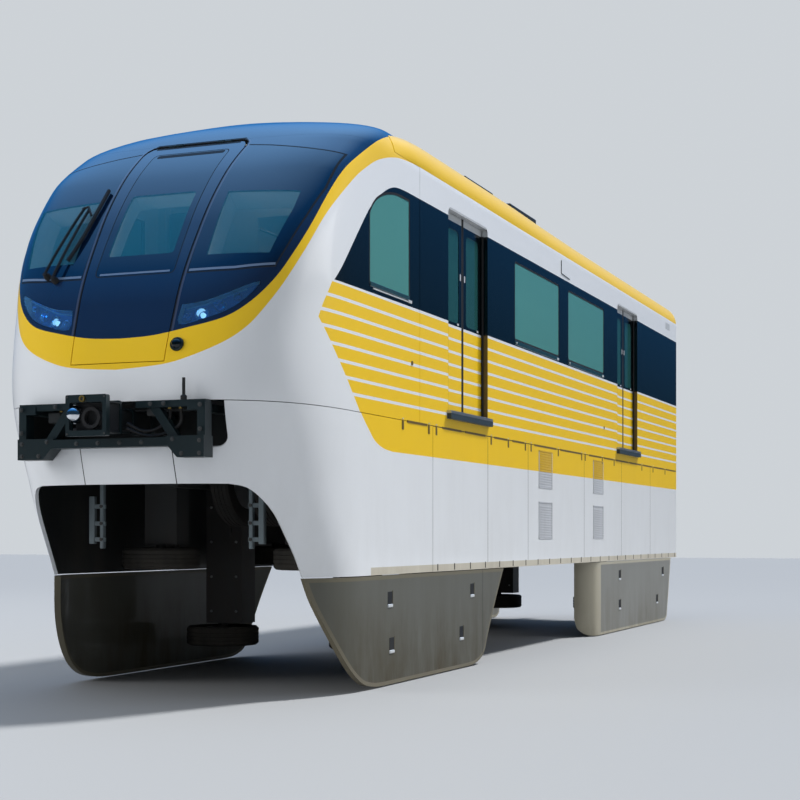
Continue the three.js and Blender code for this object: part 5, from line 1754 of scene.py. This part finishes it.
class MONORAIL_OT_interior(bpy.types.Operator):
    """Seats, poles, ceiling lights, the cab's desk, driver's seat and bulkhead"""

    bl_idname = "monorail.interior"
    bl_label = "Interior"

    def execute(self, context):
        dress("lining_grey", "cab_bulkhead")
        dress("desk_black", "driver_console")
        for name, side in SIDES.items():
            self.bench(name, side)
        self.saloon()
        self.cab()
        return {"FINISHED"}

    def bench(self, name, side):
        """A row of moulded seats on a plinth."""
        build, pads = Build(), Build()
        pan = [(0.02, 1.5), (0.42, 1.5), (0.448, 1.53), (0.447, 1.575), (0.4, 1.598), (0.25, 1.585),
               (0.12, 1.58), (0.1, 1.63), (0.085, 1.8), (0.06, 1.98), (0.045, 2.03), (0.015, 2.035), (0, 2.0)]
        pan = [(side * (BENCH_BACK_Y - ahead), z) for ahead, z in pan]
        for i in range(8):
            x = -2.29 + 0.525 * i
            prism(build, "seat_shell", pan, "x", x, x + 0.5, 0.018)
            cushion(pads, "seat_cloth", (x + 0.25, side * (BENCH_BACK_Y - 0.27), 1.593), (side, 0, 0),
                    (0, side, 0.04), (0.2, 0.13), 0.02, 0.006)
        panel = (BENCH_BACK_Y - 0.44, BENCH_BACK_Y)
        boxes(build, side, [
            ("lining_grey", (-2.299, 1.899), (BENCH_BACK_Y - 0.35, BENCH_BACK_Y), (1.1505, 1.51), 0.01),
            *[("grab_steel", (x, x + 0.014), panel, (1.16, 2.04), 0.005) for x in (-2.3, 1.885)],
        ])
        build.piece(f"bench_seat_{name}_row", [f"bench_seat_{name}"], "console_plastic")
        pads.piece(f"bench_pads_{name}", slot="seat_fabric", angle=60)

    def saloon(self):
        """Poles, rails with their hand loops, and the ceiling lights."""
        build = Build()
        for side in SIDES.values():
            y = side * 0.8
            for x in (-5.6, -4.78, -2.6, 2.15, 2.4, 4.3):
                tube(build, "grab_steel", [(x, y, FLOOR_TOP_Z + 0.001), (x, y, 3.607)], 0.017)
                foot = (x, y, FLOOR_TOP_Z)
                lathe(build, "grab_steel", [(0.035, 0), (0.035, 0.012), (0.02, 0.02)], foot, UP, 16)
            tube(build, "grab_steel", [(-7.0, y, 3.2), (4.6, y, 3.2)], 0.016)
            for x in np.arange(-2.2, 1.9, 0.45):
                tube(build, "rubber", [(x, y, 3.2), (x, y, 3.02)], 0.008, 6)
                hoop(build, "seat_shell", rect(0.043, 0.055, -0.006, 0.006), (x, y, 2.97), AHEAD, 20)
            box(build, "ceiling_light", (-7.0, 4.6), (0.5, 0.62), (3.59, 3.608), 0.005, side)
        build.piece("saloon_fittings", slot="lining")

    def cab(self):
        """Driver's seat, desk top, screens and controls."""
        build = Build()
        for y, half in [(-0.5, 0.17), (0.0, 0.21), (0.5, 0.17)]:
            prism(build, "desk_black", [(6.98, 1.98), (7.08, 1.98), (7.16, 2.16), (7.12, 2.18)], "y",
                  *around(y, half), 0.004)
            prism(build, "desk_screen", [(6.976, 1.999), (6.98, 1.997), (7.114, 2.166), (7.11, 2.168)], "y",
                  *around(y, half - 0.025), 0.0006)
        for y in (-0.28, 0.28):
            lathe(build, "rubber", [(0.03, 0), (0.03, 0.02), (0.012, 0.03), (0.012, 0.09), (0.024, 0.11),
                                    (0.012, 0.13)], (6.75, y, 1.94), UP, 20)
        lathe(build, "frame_steel", [(0.2, 0), (0.2, 0.02), (0.04, 0.05), (0.04, 0.42)],
              (5.85, 0, FLOOR_TOP_Z), UP, 28)
        shell = [(5.57, 1.56), (6.1, 1.55), (6.13, 1.58), (6.1, 1.595), (5.66, 1.6), (5.6, 1.66), (5.54, 2.3),
                 (5.515, 2.32), (5.495, 2.28), (5.53, 1.75), (5.54, 1.62)]
        prism(build, "desk_black", shell, "y", -0.24, 0.24, 0.012)
        for y in (-0.05, 0.05):
            tube(build, "grab_steel", [(5.5, y, 2.28), (5.49, y, 2.4)], 0.007, 8)
        for side in SIDES.values():
            rail = [(4.76, 1.5), (4.8, 1.55), (4.8, 2.3), (4.76, 2.35)]
            tube(build, "grab_steel", smooth([(x, side * 0.4, z) for x, z in rail], 4), 0.012, 8)
            box(build, "lining_grey", (4.742, 4.95), (0.72, 1.0), (1.2, 3.2), 0.015, side)
            box(build, "desk_black", (4.742, 4.8), (1.04, 1.3), (1.6, 3.2), 0.015, side)
        box(build, "ceiling_light", (4.9, 5.6), (-0.3, 0.3), (3.585, 3.6), 0.005)
        build.piece("cab_fittings", slot="console_plastic")
        pads = Build()
        cushion(pads, "seat_cloth", (5.88, 0, 1.62), AHEAD, ACROSS, (0.225, 0.225), 0.075, 0.022, (-0.5, 0.5))
        cushion(pads, "seat_cloth", (5.585, 0, 1.98), ACROSS, (-0.09, 0, 1), (0.215, 0.3), 0.07, 0.016,
                (-0.35, 0.3))
        cushion(pads, "seat_cloth", (5.51, 0, 2.46), ACROSS, (-0.05, 0, 1), (0.14, 0.1), 0.05, 0.03)
        pads.piece("driver_seat_pads", slot="seat_fabric", angle=60)


# Stage: half the floor's width, where the sun stands, and each soft box's place, target, size and power
FLOOR_HALF = 80
SUN_PLACE = (-0.5, 0.29, 0.81)
SOFT_BOXES = [
    ("side_box", (-6, 17, 7), (0, 1.4, 2), (16, 3), 260),
    ("front_box", (18, -14, 6), (7, 0, 1.5), (10, 8), 1500),
    ("far_box", (0, -16, 10), (0, 0, 1), (20, 8), 450),
]
CAMERA_PLACE = (19.157, 6.814, -0.09)
CAMERA_HEADING = math.radians(111.26)


class MONORAIL_OT_stage(bpy.types.Operator):
    """Pale floor, soft studio lights and the camera"""

    bl_idname = "monorail.stage"
    bl_label = "Stage"

    def execute(self, context):
        self.floor(context)
        self.lights(context)
        self.world(context)
        self.camera(context)
        return {"FINISHED"}

    def floor(self, context):
        low, high, z = -FLOOR_HALF, FLOOR_HALF, CAD_BOX[0][2] - 0.012
        mesh = bpy.data.meshes.new("studio_floor")
        mesh.from_pydata([(*spot, z) for spot in rect(low, high, low, high)], [], [(0, 1, 2, 3)])
        made, tree, shader = start_material("studio_floor")
        feed(shader, {"Base Color": (0.32, 0.325, 0.33, 1), "Roughness": 0.75})
        add_relief(tree, shader, 6.0, EVEN, 0.03)
        mesh.materials.append(made)
        plane = bpy.data.objects.new("studio_floor", mesh)
        context.scene.collection.objects.link(plane)

    def lights(self, context):
        sun = bpy.data.lights.new("soft_sun", "SUN")
        sun.energy = 5.0
        sun.angle = math.radians(6)
        self.place_light(context, sun, SUN_PLACE, (0, 0, 0)).visible_glossy = False
        for name, spot, target, size, power in SOFT_BOXES:
            light = bpy.data.lights.new(name, "AREA")
            light.shape = "RECTANGLE"
            light.size, light.size_y = size
            light.energy = power
            self.place_light(context, light, spot, target).visible_glossy = name == "side_box"

    def place_light(self, context, light, spot, target):
        made = bpy.data.objects.new(light.name, light)
        made.location = spot
        made.rotation_euler = (Vector(target) - Vector(spot)).to_track_quat("-Z", "Y").to_euler()
        context.scene.collection.objects.link(made)
        return made

    def world(self, context):
        """Even pale light; glossy paint mirrors a dim horizon under a bright top."""
        made = bpy.data.worlds.new("studio")
        made.use_nodes = True
        tree = made.node_tree
        tree.nodes.clear()
        place = node(tree, "ShaderNodeTexCoord").outputs["Generated"]
        toward = node(tree, "ShaderNodeVectorMath", {0: place, 1: (-0.3, -0.1, 0.85)},
                      operation="DOT_PRODUCT")
        ramp = node(tree, "ShaderNodeValToRGB", {0: toward.outputs["Value"]})
        ramp.color_ramp.elements.new(0.5)
        for stop, (position, colour) in zip(ramp.color_ramp.elements, SKY_STOPS):
            stop.position = position
            stop.color = (*colour, 1)
        mirrored, even, seen = (
            node(tree, "ShaderNodeBackground", {"Color": colour, "Strength": strength}).outputs[0]
            for colour, strength in [(ramp.outputs[0], 1.6), (AIR, 0.5), (AIR, 0.68)])
        ray = node(tree, "ShaderNodeLightPath").outputs
        shown = node(tree, "ShaderNodeMixShader", {0: ray["Is Glossy Ray"], 1: even, 2: mirrored}).outputs[0]
        shown = node(tree, "ShaderNodeMixShader", {0: ray["Is Camera Ray"], 1: shown, 2: seen}).outputs[0]
        node(tree, "ShaderNodeOutputWorld", {"Surface": shown})
        context.scene.world = made
        context.scene.view_settings.view_transform = "Standard"

    def camera(self, context):
        lens = bpy.data.cameras.new("photo_view")
        lens.sensor_width = 36
        lens.lens = 71.94
        lens.shift_y = 0.17
        lens.clip_end = 200
        made = bpy.data.objects.new("photo_view", lens)
        made.location = CAMERA_PLACE
        made.rotation_euler = (math.radians(90), 0, CAMERA_HEADING)
        context.scene.collection.objects.link(made)
        context.scene.camera = made


OPERATORS = [
    MONORAIL_OT_stage, MONORAIL_OT_nose_shell, MONORAIL_OT_roof_cap, MONORAIL_OT_windscreens,
    MONORAIL_OT_emergency_door, MONORAIL_OT_lower_nose, MONORAIL_OT_side_walls, MONORAIL_OT_side_glass,
    MONORAIL_OT_door_leaves, MONORAIL_OT_skirts, MONORAIL_OT_front_end, MONORAIL_OT_wheels,
    MONORAIL_OT_bogies, MONORAIL_OT_rear_end, MONORAIL_OT_roof, MONORAIL_OT_underfloor,
    MONORAIL_OT_interior,
]


class MONORAIL_PT_panel(bpy.types.Panel):
    """Lists the car's colours, sizes and pieces"""

    bl_idname = "MONORAIL_PT_panel"
    bl_label = "Monorail Lead Car"
    bl_space_type = "VIEW_3D"
    bl_region_type = "UI"
    bl_category = "Monorail"

    def draw(self, context):
        layout = self.layout
        for group in (context.scene.car_paint, context.scene.car_trim):
            section = layout.box()
            for label in group.__annotations__:
                section.prop(group, label)
        for operator in OPERATORS:
            layout.operator(operator.bl_idname)


CLASSES = [CarPaint, CarTrim, *OPERATORS, MONORAIL_PT_panel]


def register():
    for cls in CLASSES:
        bpy.utils.register_class(cls)
    bpy.types.Scene.car_paint = bpy.props.PointerProperty(type=CarPaint)
    bpy.types.Scene.car_trim = bpy.props.PointerProperty(type=CarTrim)


def unregister():
    del bpy.types.Scene.car_trim
    del bpy.types.Scene.car_paint
    for cls in reversed(CLASSES):
        bpy.utils.unregister_class(cls)


def main():
    register()
    for operator in OPERATORS:
        category, name = operator.bl_idname.split(".")
        getattr(getattr(bpy.ops, category), name)()


if __name__ == "__main__":
    main()
